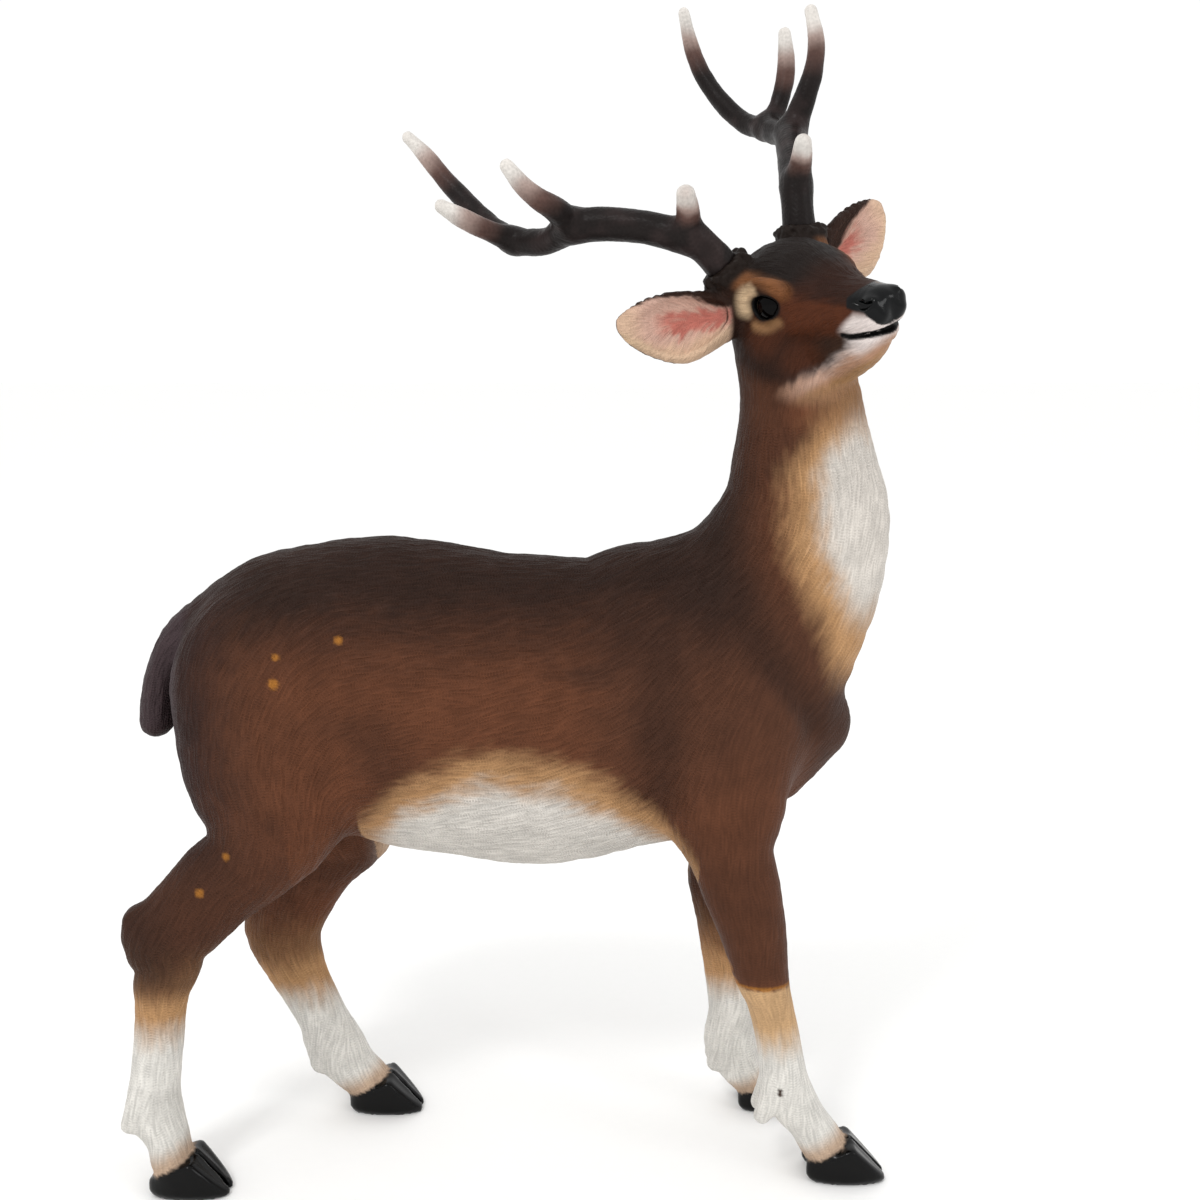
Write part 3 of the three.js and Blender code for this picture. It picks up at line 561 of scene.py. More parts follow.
def skin(forms, low, high, cell):
    """Covers the forms' surface inside a box with four-sided faces, and returns its places and faces.

    A wide grid finds the cells near the surface, and only there the values are worked out on a fine grid.
    Each fine cell that the surface passes gets one place, the middle of where the surface crosses its edges,
    and each crossed edge gets one face through the four cells around it.
    """
    low, wide = np.asarray(low, float), COARSE_CELLS
    count = np.ceil((np.asarray(high) - low) / (wide * cell)).astype(int)
    corners = np.indices(count + 1).reshape(3, -1).T
    rough = np.abs(worked(forms, low + corners * (wide * cell))).reshape(count + 1)
    for axis in range(3):
        rough = np.minimum(*neighbours(rough, axis))
    near = rough < COARSE_REACH * wide * cell
    for axis in range(3):
        near = near.repeat(wide, axis)
    flags = sum(shifted(near, move) for move in np.ndindex(2, 2, 2)) > 0
    value = np.full(flags.shape, 1e3)
    value[flags] = worked(forms, low + np.argwhere(flags) * cell)
    places, cells, rings = [], [], []
    for axis in range(3):
        a, b = neighbours(value, axis)
        crossed = ((a < 0) != (b < 0)) & np.logical_and(*neighbours(flags, axis))
        edge = np.argwhere(crossed)
        a, b = a[crossed], b[crossed]
        second, third = np.eye(3, dtype=int)[(axis + 1) % 3], np.eye(3, dtype=int)[(axis + 2) % 3]
        ring = np.stack([edge - second - third, edge - third, edge, edge - second], 1)
        ring[a >= 0] = ring[a >= 0][:, ::-1]
        whole = ((ring >= 0) & (ring < np.array(flags.shape) - 1)).all((1, 2))
        place = edge.astype(float)
        place[:, axis] += a / (a - b)
        number = np.ravel_multi_index(np.moveaxis(ring[whole], -1, 0), flags.shape)
        places.append(np.repeat(place[whole], 4, 0))
        cells.append(number.ravel())
        rings.append(number)
    places, cells = np.vstack(places), np.concatenate(cells)
    names, index = np.unique(cells, return_inverse=True)
    index = index.ravel()
    total = np.bincount(index)
    points = summed(index, places, len(names)) / total[:, None]
    return low + points * cell, np.searchsorted(names, np.vstack(rings))


def summed(index, values, count):
    """The sums of the rows of values that share an index."""
    return np.stack([np.bincount(index, values[:, axis], count) for axis in range(3)], 1)


def eased(points, faces):
    """The surface with each place moved halfway to the middle of its neighbours, to take out grid ripples."""
    here, after = faces.ravel(), np.roll(faces, -1, 1).ravel()
    count = np.bincount(here, minlength=len(points)) + 1e-9
    return 0.5 * points + 0.5 * summed(here, points[after], len(points)) / count[:, None]


def normals_of(points, faces):
    """The direction out of the surface at each place."""
    one = points[faces[:, 2]] - points[faces[:, 0]]
    other = points[faces[:, 3]] - points[faces[:, 1]]
    return unit(summed(faces.ravel(), np.repeat(np.cross(one, other), 4, 0), len(points)))


def lattice(i, j, k, seed):
    """A number from 0 to 1 for each whole place, the same on every run."""
    n = (i * 73856093) ^ (j * 19349663) ^ (k * 83492791) ^ (seed * 49979687)
    n = ((n ^ (n >> 13)) * 1274126177) & 0x7FFFFFFF
    n = ((n ^ (n >> 15)) * 1103515245) & 0x7FFFFFFF
    return (n >> 7 & 0xFFFF) / 65535.0


def noise(p, size, seed=0):
    """Smooth lumps from -1 to 1, "size" millimetres wide."""
    q = p / size
    base = np.floor(q).astype(np.int64)
    t = q - base
    t = t * t * (3 - 2 * t)
    total = np.zeros(len(p))
    for corner in np.ndindex(2, 2, 2):
        weight = np.where(corner, t, 1 - t).prod(1)
        total += weight * lattice(*(base + np.array(corner)).T, seed)
    return 2 * total - 1


def strokes(p, comb, wide, long, seed):
    """Lumps drawn out along the comb direction into strokes, from about -1 to 1."""
    shares = np.linspace(-0.5, 0.5, 7)
    total = sum(noise(p + comb * (long * share), wide, seed) for share in shares) / len(shares)
    return np.clip(2.6 * total, -1, 1)


def combed(forms, p, normal):
    """The way the fur lies: along the limb of each place, drooping a little, with some waves. In the ears it
    fans out from the middle of the cup."""
    comb = np.tile((0.0, 0.0, -0.12), (len(p), 1))
    for form in forms:
        if not isinstance(form, Tube) or form.cut or not form.grain:
            continue
        near = np.flatnonzero(((p > form.low) & (p < form.high)).all(1))
        if not len(near):
            continue
        distance, stretch = form.nearest(p[near])
        tangent = unit(np.diff(form.curve[:, :3], axis=0))[stretch] * form.grain
        comb[near] += tangent * np.exp(-np.maximum(distance, -30) / 9)[:, None]
    comb = unit(comb) + (0, 0, -0.22)
    for way in (-1, 1):
        root, along, length, down, _ = ear_axes(way)
        far, drop = (p - root) @ along / length, (p - root) @ down
        reach = np.linalg.norm(p - root - along * length / 2, axis=1)
        here = (far > 0.1) & (far < 1.1) & (reach < 42)
        fan = along * (0.6 + far[:, None]) + down * ((drop[:, None] - 4) / 9)
        comb = np.where(here[:, None], unit(fan), comb)
    waves = np.stack([noise(p, 16, seed) + 0.5 * noise(p, 6, seed + 3) for seed in (11, 12, 13)], 1)
    comb = comb + 0.3 * waves
    comb -= normal * (comb * normal).sum(1)[:, None]
    return unit(comb)


def step(x, a, b):
    """Goes smoothly from 0 where x is a to 1 where x is b."""
    t = np.clip((x - a) / (b - a), 0, 1)
    return t * t * (3 - 2 * t)


def linear(colour):
    """An sRGB hex colour as three linear values."""
    parts = np.array([int(colour[i : i + 2], 16) / 255 for i in (1, 3, 5)])
    return np.where(parts <= 0.04045, parts / 12.92, ((parts + 0.055) / 1.055) ** 2.4)


def near_to(p, places, radius, soft):
    """1 within "radius" of any of the places, and 0 beyond "soft" more. Each may have its own radius."""
    least = np.full(len(p), np.inf)
    for place, reach in zip(places, np.broadcast_to(radius, len(places))):
        least = np.minimum(least, np.linalg.norm(p - np.array(place, float), axis=1) - reach)
    return 1 - step(least, 0, soft)


def head_places(rows):
    """Places on both sides of the head, from rows of nose, left and crown."""
    return [on_head(nose, left * way, crown) for way in (-1, 1) for nose, left, crown in rows]


BACK, FLANK, SHADE, EDGE = "#291912", "#5a3522", "#2e1c14", "#2b1a16"
SHOULDER, TAN, CREAM, WHITE, SOCK = "#452a1d", "#a67f58", "#c4a988", "#c3beb7", "#c8c5bf"
PASTERN, HORN, CHESTNUT, CHEEK, FOREHEAD = "#a3805f", "#050505", "#4e2816", "#24140d", "#1a1310"
NOSE_BLACK, LIP_WHITE, JAW_TAN, PINK, SALMON = "#040506", "#d3c8c4", "#a9826a", "#bd9a8b", "#ac6055"
OCHRE, EYE_RIM, BURR, BRIDGE = "#9a6427", "#060505", "#1c1410", "#2a160e"
SEAM_TAN = "#b3916b"
OLIVE, ORANGE_TAN, DENT, TAIL_TONE = "#8f6c46", "#8f5c38", "#33231a", "#3a2e30"
NOSTRIL_BLACK, BEAM, BEAM_BROWN = "#020202", "#1b1615", "#2a2120"
# The colours towards a tine's tip, with the shares of its painted length where each starts and is full.
TIP_COLOURS = [("#56403a", 1.0, 0.6), ("#9c8880", 0.66, 0.36), ("#cfcac4", 0.45, 0.15)]
# The painted lengths, in millimetres from the tips.
PALE_LENGTHS = {"beam": 38, "brow": 17, "middle": 34, "crown": 34}
# Chips in the paint on the near side, where ochre resin shows.
CHIPS = [(-123, 281), (-152, 273), (-153, 261), (-179, 176), (-192, 159)]
# The line from throat to breast where the brown side of the neck turns white, as height and forward place.
THROAT = np.array(
    [(395, 114), (377, 106), (360, 95), (336, 96), (317, 99), (299, 106), (279, 115), (258, 124)]
)
# The line along the flank where the brown side turns to the white belly, as forward place and height.
BELLY = np.array(
    [(-150, 160), (-112, 190), (-96, 208), (-57, 226), (-20, 220), (5, 208), (30, 186), (50, 165)]
)
# The shadows sprayed on the coat, each along a fold, with its strength and its width.
SHADOWS = [(BEHIND_SHOULDER, 0.65, 18), (NECK_CREASE, 0.6, 14), (STIFLE_FOLD, 0.42, 24)]
# Colour painted round each eye, in the head's axes.
BROW_PAINT = [(-13, 26, 12), (-8, 25, 14.5), (0, 25, 15), (7, 24, 12.5), (11, 23, 8.5)]
UNDER_EYE = [(-6, 28, -9), (0, 27, -9.5), (6, 25, -7)]
PALE_PATCH = [(-5, 28, 8.5), (-9, 28, 6.5), (-11.6, 28, 3), (-11.8, 28, -2)]
EYE_EDGE = [(-1.5, 25, 0), (0.6, 25, 0.6), (2.8, 25, 1.2)]
# The lower edge of the nose's black, as how far it lies along the nose, and its height on the crown axis.
BLACK_EDGE = np.array([(40, 5), (43, 1), (48, 0), (53, -0.5), (56, -4.5), (58, -8.5)])
# A small dent in the near foreleg.
DENT_PLACES = [(89.4, -43.5, 53), (89.4, -43.5, 51)]
# Ochre resin along the back edge of the near foreleg.
OCHRE_EDGE = [(67, -38, 107), (65, -38, 117), (63, -38, 128)]
COAT_ROUGHNESS, NOSE_ROUGHNESS, HORN_ROUGHNESS, ANTLER_ROUGHNESS = 0.55, 0.2, 0.16, 0.42
# The height of the seam across the near foreleg, where its repaired lower part begins.
SEAM_HEIGHT = 107.0


def painter(paint):
    """A function that lays a colour over the paint, as strongly as each place's amount from 0 to 1."""

    def over(colour, amount):
        paint[:] += np.clip(amount, 0, 1)[:, None] * (linear(colour) - paint)

    return over


def sock_height(x, y):
    """The height at which each leg's sock turns brown."""
    hind = np.where(y < 0, 98.0, 84.0)
    fore = np.where(y < 0, 92.0, 90.0)
    return np.where(x < -60, hind, fore)


def coat(p, normal, ripple):
    """The painted colour, the roughness and how deep the fur is carved, at each place on the body."""
    x, y, z = p.T
    nose, left, crown = ((p - BETWEEN_EYES) @ HEAD_AXES.T).T
    side = np.abs(left)
    mottle = noise(p, 30, 21) + 0.5 * noise(p, 12, 22)
    paint = np.tile(linear(FLANK), (len(p), 1))
    rough, fur = np.full(len(p), COAT_ROUGHNESS), np.ones(len(p))

    over = painter(paint)
    blur = 3.5 * ripple + 5 * mottle
    over(SHADE, 0.5 * step(mottle, 0.2, 1.1))
    upper = 0.2 + 0.8 * step(z, 175, 245)
    over(SHOULDER, 0.8 * step(x + blur, -22, 22) * step(-z, -330, -280) * upper)
    over(SHOULDER, 0.7 * step(-x + blur, 135, 190))
    over(BACK, step(z + blur, 250, 305) * step(-x, -96, -56))
    over(EDGE, step(-x + blur, 165, 205) * step(z, 150, 190))
    for points, amount, wide in SHADOWS:
        for line in both_sides(points):
            over(SHADE, amount * near_to(p, smooth(line), 1, wide))
    over(TAIL_TONE, step(-x, 200, 208) * step(z, 215, 235))
    over(SHADE, 0.65 * step(x, 92, 118) * step(-z, -262, -245) * step(z, 180, 200))
    over(SHADE, 0.6 * step(-x, 95, 130) * step(y, 4, 24) * step(z, 120, 150) * step(-z, -215, -175))
    belly = np.interp(x, *BELLY.T) + 0.9 * blur
    low = step(-z, -belly - 12, -belly + 6) * (x > -118) * (x < 48)
    trunk = step(z, 120, 160)
    over(TAN, low * trunk * 0.9)
    over(WHITE, step(-z, -belly + 4, -belly + 24) * step(x, -125, -95) * step(-x, -52, -30) * trunk)
    throat = np.interp(-z, -THROAT[:, 0], THROAT[:, 1]) + 0.7 * blur
    on_neck = step(z, 246, 268) * step(x, 70, 80) * (crown < 10)
    over(TAN, step(x, throat - 18, throat + 4) * on_neck * (1 - 0.5 * step(z, 372, 388)))
    bib = on_neck * step(-z + blur, -392, -366) * step(z + blur, 270, 306)
    over(WHITE, 0.95 * step(x, throat - 1, throat + 18) * bib)
    sock = sock_height(x, y) + 0.7 * blur
    seamed = (x > 40) & (y < 0)
    over(TAN, 0.3 * step(-z, -sock - 42, -sock - 8) * ~seamed)
    over(TAN, step(-z, -sock - 14, -sock + 4) * ~seamed)
    over(OCHRE, 0.85 * near_to(p, OCHRE_EDGE, [3.5, 2.6, 1], 2))
    over(SEAM_TAN, seamed * step(-z + 0.4 * ripple, -SEAM_HEIGHT - 0.4, -SEAM_HEIGHT + 0.4))
    over(OCHRE, 0.8 * seamed * step(-np.abs(z - SEAM_HEIGHT - 0.9) + 0.5 * ripple, -1.3, -0.5))
    white = step(-z, -sock + 4, -sock + 26)
    over(SOCK, white)
    fur *= 1 - 0.45 * white * step(-z, -110, -100)
    over(DENT, near_to(p, DENT_PLACES, 0.8, 0.9))
    over(SHADE, 0.35 * (x > 40) * step(-z, -205, -165) * step(z, 104, 116))
    over(SHADE, 0.3 * (x < -150) * (y < 0) * step(-z, -200, -170) * step(z, 112, 130))
    over(SHADE, 0.7 * step(-x - 0.25 * (z - 140), 196, 224) * step(z, 100, 118) * step(-z, -165, -150))
    for hoof in HOOVES:
        here = (np.abs(x - hoof[0]) < 36) & (np.abs(y - hoof[1]) < 26) & (z < 48)
        above = np.where(here, hoof_top(x, z, hoof), 99) + 0.6 * ripple
        over(PASTERN, 0.75 * step(-above, -14, -3))
        over(HORN, step(-above, -1.6, -0.2))
        horn = step(-above, -1.2, 0.2)
        rough += horn * (HORN_ROUGHNESS - rough)
        fur *= 1 - horn
    flat = np.column_stack([x, z + 1.2 * mottle])
    over(OCHRE, 0.85 * near_to(flat, CHIPS, [1.3, 0.9, 1.7, 1.1, 1.3], 1.3) * (y < -16))

    head = step(nose * 0.45 + crown, -42, -30) * (z > 384) * (np.abs(left) < 40)
    face = head * step(z, 392, 404)
    soft = 1.5 * ripple + 2 * mottle
    over(CHEEK, 0.95 * face)
    muzzle_side = step(nose, 0, 14) * step(side, 8, 14) * step(crown + soft, -20, -9)
    over(CHESTNUT, 0.9 * face * muzzle_side)
    over(CHESTNUT, 0.6 * face * near_to(p, head_places([(-2, 27, -14), (14, 22, -24)]), 2, 14))
    over(FOREHEAD, face * step(crown + 0.16 * nose + 2 * mottle, 4, 15) * step(-nose, -46, -10))
    over(BRIDGE, face * step(crown + 0.1 * nose + soft, 2, 8) * step(nose, 8, 26))
    jaw = crown + 20.4 + 0.65 * (41 - nose)
    over(JAW_TAN, 0.9 * head * step(-jaw + soft, -6, 1) * step(nose, -6, 12))
    over(LIP_WHITE, 0.33 * head * step(-np.abs(jaw - 1) + soft, -7, -1) * step(nose, 4, 30))
    over(OLIVE, 0.85 * head * step(-jaw + soft, 3, 10) * step(nose, 2, 16))
    lip_top = -1 - 0.8 * np.maximum(47 - nose, 0)
    lip = step(nose + 0.35 * (crown + 12) + soft, 30, 42) * step(lip_top - crown, -2, 3) * step(jaw, -7, -1)
    over(LIP_WHITE, head * lip)
    for way in (-1, 1):
        for row, colour, amount, reach, fade in (
            (BROW_PAINT, ORANGE_TAN, 0.6 if way < 0 else 0.4, 1, 6.5),
            (UNDER_EYE, TAN, 0.5, 0, 5),
            (PALE_PATCH, CREAM, 0.95, 0.5, 5.5),
        ):
            line = smooth(np.array(row) * (1, way, 1), 6)
            over(colour, amount * near_to(p, placed(line), reach, fade))
    over(EYE_RIM, near_to(p, head_places(EYE_EDGE), 5.9, 1.2))
    over(EYE_RIM, 0.95 * near_to(p, head_places(TEAR), 0.8, 1.1))
    black = step(crown - np.interp(nose, *BLACK_EDGE.T), -0.6, 0.6) * head
    black *= step(nose + 0.04 * side**2, 43.5, 45.5)
    over(NOSE_BLACK, black)
    gap = np.array([(*row[:3], row[3] + 0.7) for row in MOUTH])
    for way in (-1, 1):
        line = smooth(gap * (1, way, 1, 1), 8)
        over(EYE_RIM, near_to(p, placed(line[:, :3]), line[:, 3], 0.9))
        hole = smooth(np.array(NOSTRIL) * (1, way, 1, 1, 1), 4)
        over(NOSTRIL_BLACK, near_to(p, placed(hole[:, :3]), hole[:, 3], 0.8))
    rough += black * (NOSE_ROUGHNESS - rough)
    around_eye = near_to(p, head_places([(-1, 25, 0)]), 9, 4)
    muzzle = step(nose, 34, 44)
    fur *= (1 - black) * (1 - 0.85 * around_eye) * (1 - 0.7 * muzzle)
    over_ears(p, normal, over, ripple)
    for way in (-1, 1):
        up, out = about_axis(p, *seat(way))
        burr = step(-out, -17, -13) * step(up, -9, -5)
        over(BURR, burr)
        fur *= 1 - burr
    return paint, rough, fur


# The middle and the half width of an ear at shares of its length, and the edge where its dark back begins on
# each side, from -1 at the ear's upper edge to 1 at the lower one.
EAR_SHARES = [0, 0.2, 0.45, 0.7, 0.88, 1.0]
EAR_MIDDLE = [2, 4, 6, 5, 3, 1]
EAR_HALF = [10, 13.5, 17, 15, 9, 3]
DARK_SHARES = [0.1, 0.35, 0.6, 0.95]
DARK_EDGE = {1: [0.4, -0.1, -0.5, -0.9], -1: [-0.1, -0.68, -0.84, -0.95]}


def over_ears(p, normal, over, ripple):
    """Paints the ears: dark outside, cream and pink within, with a salmon band in the middle of the cup."""
    for way in (-1, 1):
        root, along, length, down, opening = ear_axes(way)
        q = p - root
        far, drop, front = q @ along / length, q @ down, q @ opening
        here = step(far, 0.06, 0.14) * (far < 1.1) * (np.abs(drop) < 30) * (np.abs(front) < 22)
        across = (drop - np.interp(far, EAR_SHARES, EAR_MIDDLE)) / np.interp(far, EAR_SHARES, EAR_HALF)
        across += 0.06 * ripple
        top = np.interp(far, DARK_SHARES, DARK_EDGE[way])
        inside = here * step(normal @ opening, -0.1, 0.3) * step(across - top, -0.06, 0.1)
        over(BACK, here * step(far, 0.05, 0.2))
        over(PINK, inside)
        over(CREAM, 0.6 * inside * step(across, 0.35, 0.85))
        over(CREAM, 0.5 * inside * step(far, 0.7, 0.92))
        off_band = np.abs(across - 0.05 - 0.5 * (0.45 - far) + 0.15 * ripple)
        over(SALMON, 0.9 * inside * step(-off_band, -0.42, -0.1) * step(-far, -0.72, -0.5))


def horn_paint(p, way):
    """An antler's colour: near black at the beam, mauve brown on the tines and pale at their tips."""
    paint = np.tile(linear(BEAM), (len(p), 1))
    mottle = noise(p, 9, 31) + 0.5 * noise(p, 4, 32)
    over = painter(paint)
    over(BEAM_BROWN, step(mottle, -0.3, 0.9))
    for name, long in PALE_LENGTHS.items():
        nose, left, crown, _, lift = ANTLER[name][-1]
        tip = on_head(nose, left * way, crown + lift * way)
        away = np.linalg.norm(p - tip, axis=1) + 2 * mottle
        for colour, start, full in TIP_COLOURS:
            over(colour, step(-away, -start * long, -full * long))
    return paint, np.full(len(p), ANTLER_ROUGHNESS), np.full(len(p), 0.35)


def add_node(tree, kind, inputs=(), out=0, **settings):
    """Adds a shader node, sets its properties, links or fills its inputs, and returns one of its outputs."""
    node = tree.nodes.new("ShaderNode" + kind)
    for name, value in settings.items():
        setattr(node, name, value)
    for name, value in dict(inputs).items():
        if isinstance(value, bpy.types.NodeSocket):
            tree.links.new(value, node.inputs[name])
        else:
            node.inputs[name].default_value = value
    return node.outputs[out] if node.outputs else None


def noise_node(tree, place, wide, detail):
    """Noise with lumps "wide" millimetres wide."""
    return add_node(tree, "TexNoise", {"Vector": place, "Scale": 1 / (wide * MM), "Detail": detail})


def new_material(name):
    """A material with an empty node tree, and the tree."""
    material = bpy.data.materials.new(name)
    material.use_nodes = True
    material.node_tree.nodes.clear()
    return material, material.node_tree


# The widths in millimetres of patches of tone, of specks in the paint and of clouds on a plain finish.
PATCH_WIDE, SPECK_WIDE, CLOUD_WIDE = 14, 0.7, 6
SPECK_HEIGHT = 0.12
# Five noises lie along each stroke. Their sum runs between these values.
STROKE_SHARES = (-0.5, -0.25, 0.0, 0.25, 0.5)
STROKE_SUM = {"From Min": 1.95, "From Max": 3.05}
# Only horn and nose, whose roughness is low, are varnished.
VARNISH = {"From Min": 0.42, "From Max": 0.2, "To Max": 0.13}


def painted_material(name, stroke_wide, stroke_long, bump, contrast):
    """A painted resin that takes its colour, roughness and comb direction from the piece's attributes.

    Fine strokes are the mean of five noises set apart along the comb direction. They raise the surface, and
    the colour is painted paler on their crests, as painted highlight, and darker between them, as painted
    shade.
    """
    material, tree = new_material(name)
    place = add_node(tree, "TexCoord", out="Object")
    comb = add_node(tree, "Attribute", out="Vector", attribute_name="comb")
    paint = add_node(tree, "Attribute", out="Color", attribute_name="paint")
    rough = add_node(tree, "Attribute", out="Fac", attribute_name="rough")
    fur = add_node(tree, "Attribute", out="Fac", attribute_name="fur")
    total = None
    for share in STROKE_SHARES:
        along = [share * stroke_long * MM] * 3
        moved = add_node(tree, "VectorMath", {0: comb, 1: along, 2: place}, operation="MULTIPLY_ADD")
        here = noise_node(tree, moved, stroke_wide, 0.0)
        total = here if total is None else add_node(tree, "Math", {0: total, 1: here}, operation="ADD")
    lines = add_node(tree, "MapRange", {"Value": total, **STROKE_SUM})
    height = add_node(tree, "Math", {0: lines, 1: fur}, operation="MULTIPLY")
    speck = noise_node(tree, place, SPECK_WIDE, 1.0)
    both = add_node(tree, "Math", {0: speck, 1: SPECK_HEIGHT, 2: height}, operation="MULTIPLY_ADD")
    raised = add_node(tree, "Bump", {"Strength": 1.0, "Distance": bump * MM, "Height": both})
    # Painted highlight on the strokes' crests and painted shade between them, following the stroke pattern.
    shade = add_node(tree, "MapRange", {"Value": lines, "To Min": 1 - contrast, "To Max": 1 + contrast})
    grain = noise_node(tree, place, PATCH_WIDE, 3.0)
    tones = {"From Min": 0.3, "From Max": 0.7, "To Min": 0.9, "To Max": 1.1}
    patch = add_node(tree, "MapRange", {"Value": grain, **tones})
    tone = add_node(tree, "Math", {0: shade, 1: patch}, operation="MULTIPLY")
    colour = add_node(tree, "VectorMath", {0: paint, 1: tone}, operation="MULTIPLY")
    uneven = add_node(tree, "MapRange", {"Value": lines, "To Min": 0.06, "To Max": -0.06})
    gloss = add_node(tree, "Math", {0: rough, 1: uneven}, operation="ADD")
    finish = {
        "Base Color": colour,
        "Roughness": gloss,
        "Normal": raised,
        "Specular IOR Level": 0.1,
        "Coat Weight": add_node(tree, "MapRange", {"Value": rough, **VARNISH}),
        "Coat Roughness": 0.1,
    }
    add_node(tree, "OutputMaterial", {"Surface": add_node(tree, "BsdfPrincipled", finish)})
    return material


def plain_material(name, colour, roughness, coat_weight=0.0, spread=0.08, level=0.1):
    """A smooth finish of one colour, with a faint change of tone across it by "spread" each way."""
    material, tree = new_material(name)
    cloud = noise_node(tree, add_node(tree, "TexCoord", out="Object"), CLOUD_WIDE, 2.0)
    base = linear(colour)
    tones = {0: cloud, 6: (*(base * (1 - spread)), 1.0), 7: (*(base * (1 + spread)), 1.0)}
    finish = {
        "Base Color": add_node(tree, "Mix", tones, out=2, data_type="RGBA"),
        "Roughness": roughness,
        "Specular IOR Level": level,
        "Coat Weight": coat_weight,
        "Coat Roughness": 0.03,
    }
    add_node(tree, "OutputMaterial", {"Surface": add_node(tree, "BsdfPrincipled", finish)})
    return material


def row_frame(p):
    """Places in the stag's own millimetres, moved into the row frame in metres.

    The record's sole mount on the right hind hoof says where that hoof's outer claw stands.
    """
    sole = next(m for m in frame["record"]["mounts"] if m["name"] == "right_hind_hoof_sole")
    x, y = HOOVES[0]
    return p * MM + (np.array(sole["pos_m"]) - np.array((x, y - CLAWS_APART / 2, 0.0)) * MM)


def add_piece(name, points, faces, material, nodes, attributes=None, normal=None):
    """Makes a mesh object from whole arrays, gives it its attributes and ties it to the frame."""
    mesh = bpy.data.meshes.new(name)
    mesh.vertices.add(len(points))
    mesh.vertices.foreach_set("co", row_frame(points).astype(np.float32).ravel())
    corners = np.concatenate([face.ravel() for face in faces]).astype(np.int32)
    sizes = np.concatenate([np.full(len(face), face.shape[1]) for face in faces])
    mesh.loops.add(len(corners))
    mesh.loops.foreach_set("vertex_index", corners)
    mesh.polygons.add(len(sizes))
    mesh.polygons.foreach_set("loop_start", (np.cumsum(sizes) - sizes).astype(np.int32))
    mesh.polygons.foreach_set("use_smooth", np.ones(len(sizes), bool))
    mesh.update(calc_edges=True)
    for key, (kind, values) in (attributes or {}).items():
        layer = mesh.attributes.new(key, kind, "POINT")
        field = {"FLOAT_COLOR": "color", "FLOAT_VECTOR": "vector", "FLOAT": "value"}[kind]
        layer.data.foreach_set(field, np.ascontiguousarray(values, np.float32).ravel())
    if normal is not None:
        mesh.normals_split_custom_set_from_vertices(normal.tolist())
    mesh.materials.append(material)
    piece = bpy.data.objects.new(name, mesh)
    bpy.context.scene.collection.objects.link(piece)
    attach(piece, "root")
    if nodes:
        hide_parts(*nodes)


def capped(points, faces, cuts):
    """Closes the openings that the cuts left, each with a fan of triangles to the middle of its own ring."""
    start = faces.ravel()
    end = np.roll(faces, -1, 1).ravel()
    size = len(points)
    there, back = start * size + end, end * size + start
    open_edge = ~np.isin(back, there)
    a, b = start[open_edge], end[open_edge]
    middle = (points[a] + points[b]) / 2
    off = np.stack([np.abs(middle[:, axis] - place) for axis, place in cuts], 1)
    rings, extra = [], []
    used = size
    for number in range(len(cuts)):
        here = off.argmin(1) == number
        if not here.any():
            continue
        ring, index = np.unique(np.stack([a[here], b[here]], 1), return_inverse=True)
        index = index.reshape(-1, 2)
        extra += [points[ring], points[ring].mean(0)[None]]
        hub = np.full(len(index), used + len(ring))
        rings.append(np.stack([index[:, 1] + used, index[:, 0] + used, hub], 1))
        used += len(ring) + 1
    return np.vstack([points, *extra]), [faces, np.vstack(rings)], used - size


def painted_attributes(paint, rough, fur, comb):
    """What a painted material reads from a piece's mesh."""
    return {
        "paint": ("FLOAT_COLOR", np.column_stack([paint, np.ones(len(paint))])),
        "rough": ("FLOAT", rough),
        "fur": ("FLOAT", fur),
        "comb": ("FLOAT_VECTOR", comb),
    }


# The heights in millimetres of wide locks, of strokes and of the finest strokes, which only the head has, and
# of the burrs' large and small lumps.
LOCK_HEIGHT, STROKE_HEIGHT, FINE_HEIGHT = 0.24, 0.3, 0.12
HEAD_SHARE = 0.62
BURR_LUMPS = ((1.6, 3.4, 41), (0.6, 1.6, 42))


def carve(forms, points, faces, fine):
    """Carves wide locks and strokes along the comb direction, and returns the places and their paint."""
    normal = normals_of(points, faces)
    comb = combed(forms, points, normal)
    ripple = strokes(points, comb, 1.7, 8, 1)
    paint, rough, fur = coat(points, normal, ripple)
    relief = LOCK_HEIGHT * strokes(points, comb, 6, 26, 2) + STROKE_HEIGHT * ripple
    if fine:
        relief = HEAD_SHARE * (relief + FINE_HEIGHT * strokes(points, comb, 1.0, 5, 3))
    relief *= fur
    for way in (-1, 1):
        up, out = about_axis(points, *seat(way))
        burr = step(-out, -16, -13) * step(out, 8.6, 10) * step(up, -8, -5)
        relief += burr * sum(high * noise(points, wide, seed) for high, wide, seed in BURR_LUMPS)
    moved = points + normal * relief[:, None]
    moved[:, 2] = np.where(points[:, 2] < 0.5, 0, np.maximum(moved[:, 2], 0))
    return moved, painted_attributes(paint, rough, fur, comb)


def add_part(name, points, faces, attributes, normal, keep, cuts, material):
    """Adds the faces that "keep" marks as one closed piece of the body."""
    chosen = faces[keep]
    used, index = np.unique(chosen, return_inverse=True)
    index = index.reshape(chosen.shape)
    closed, all_faces, extra = capped(points[used], index, cuts)
    pick = np.concatenate([used, np.full(extra, used[0])])
    attributes = {key: (kind, values[pick]) for key, (kind, values) in attributes.items()}
    add_piece(name, closed, all_faces, material, ["deer_body"], attributes, normal[pick])


def length(name, description, default, least, most):
    """A setting for a length."""
    return bpy.props.FloatProperty(
        name=name,
        description=description,
        default=default,
        min=least,
        max=most,
        unit="LENGTH",
        subtype="DISTANCE",
    )


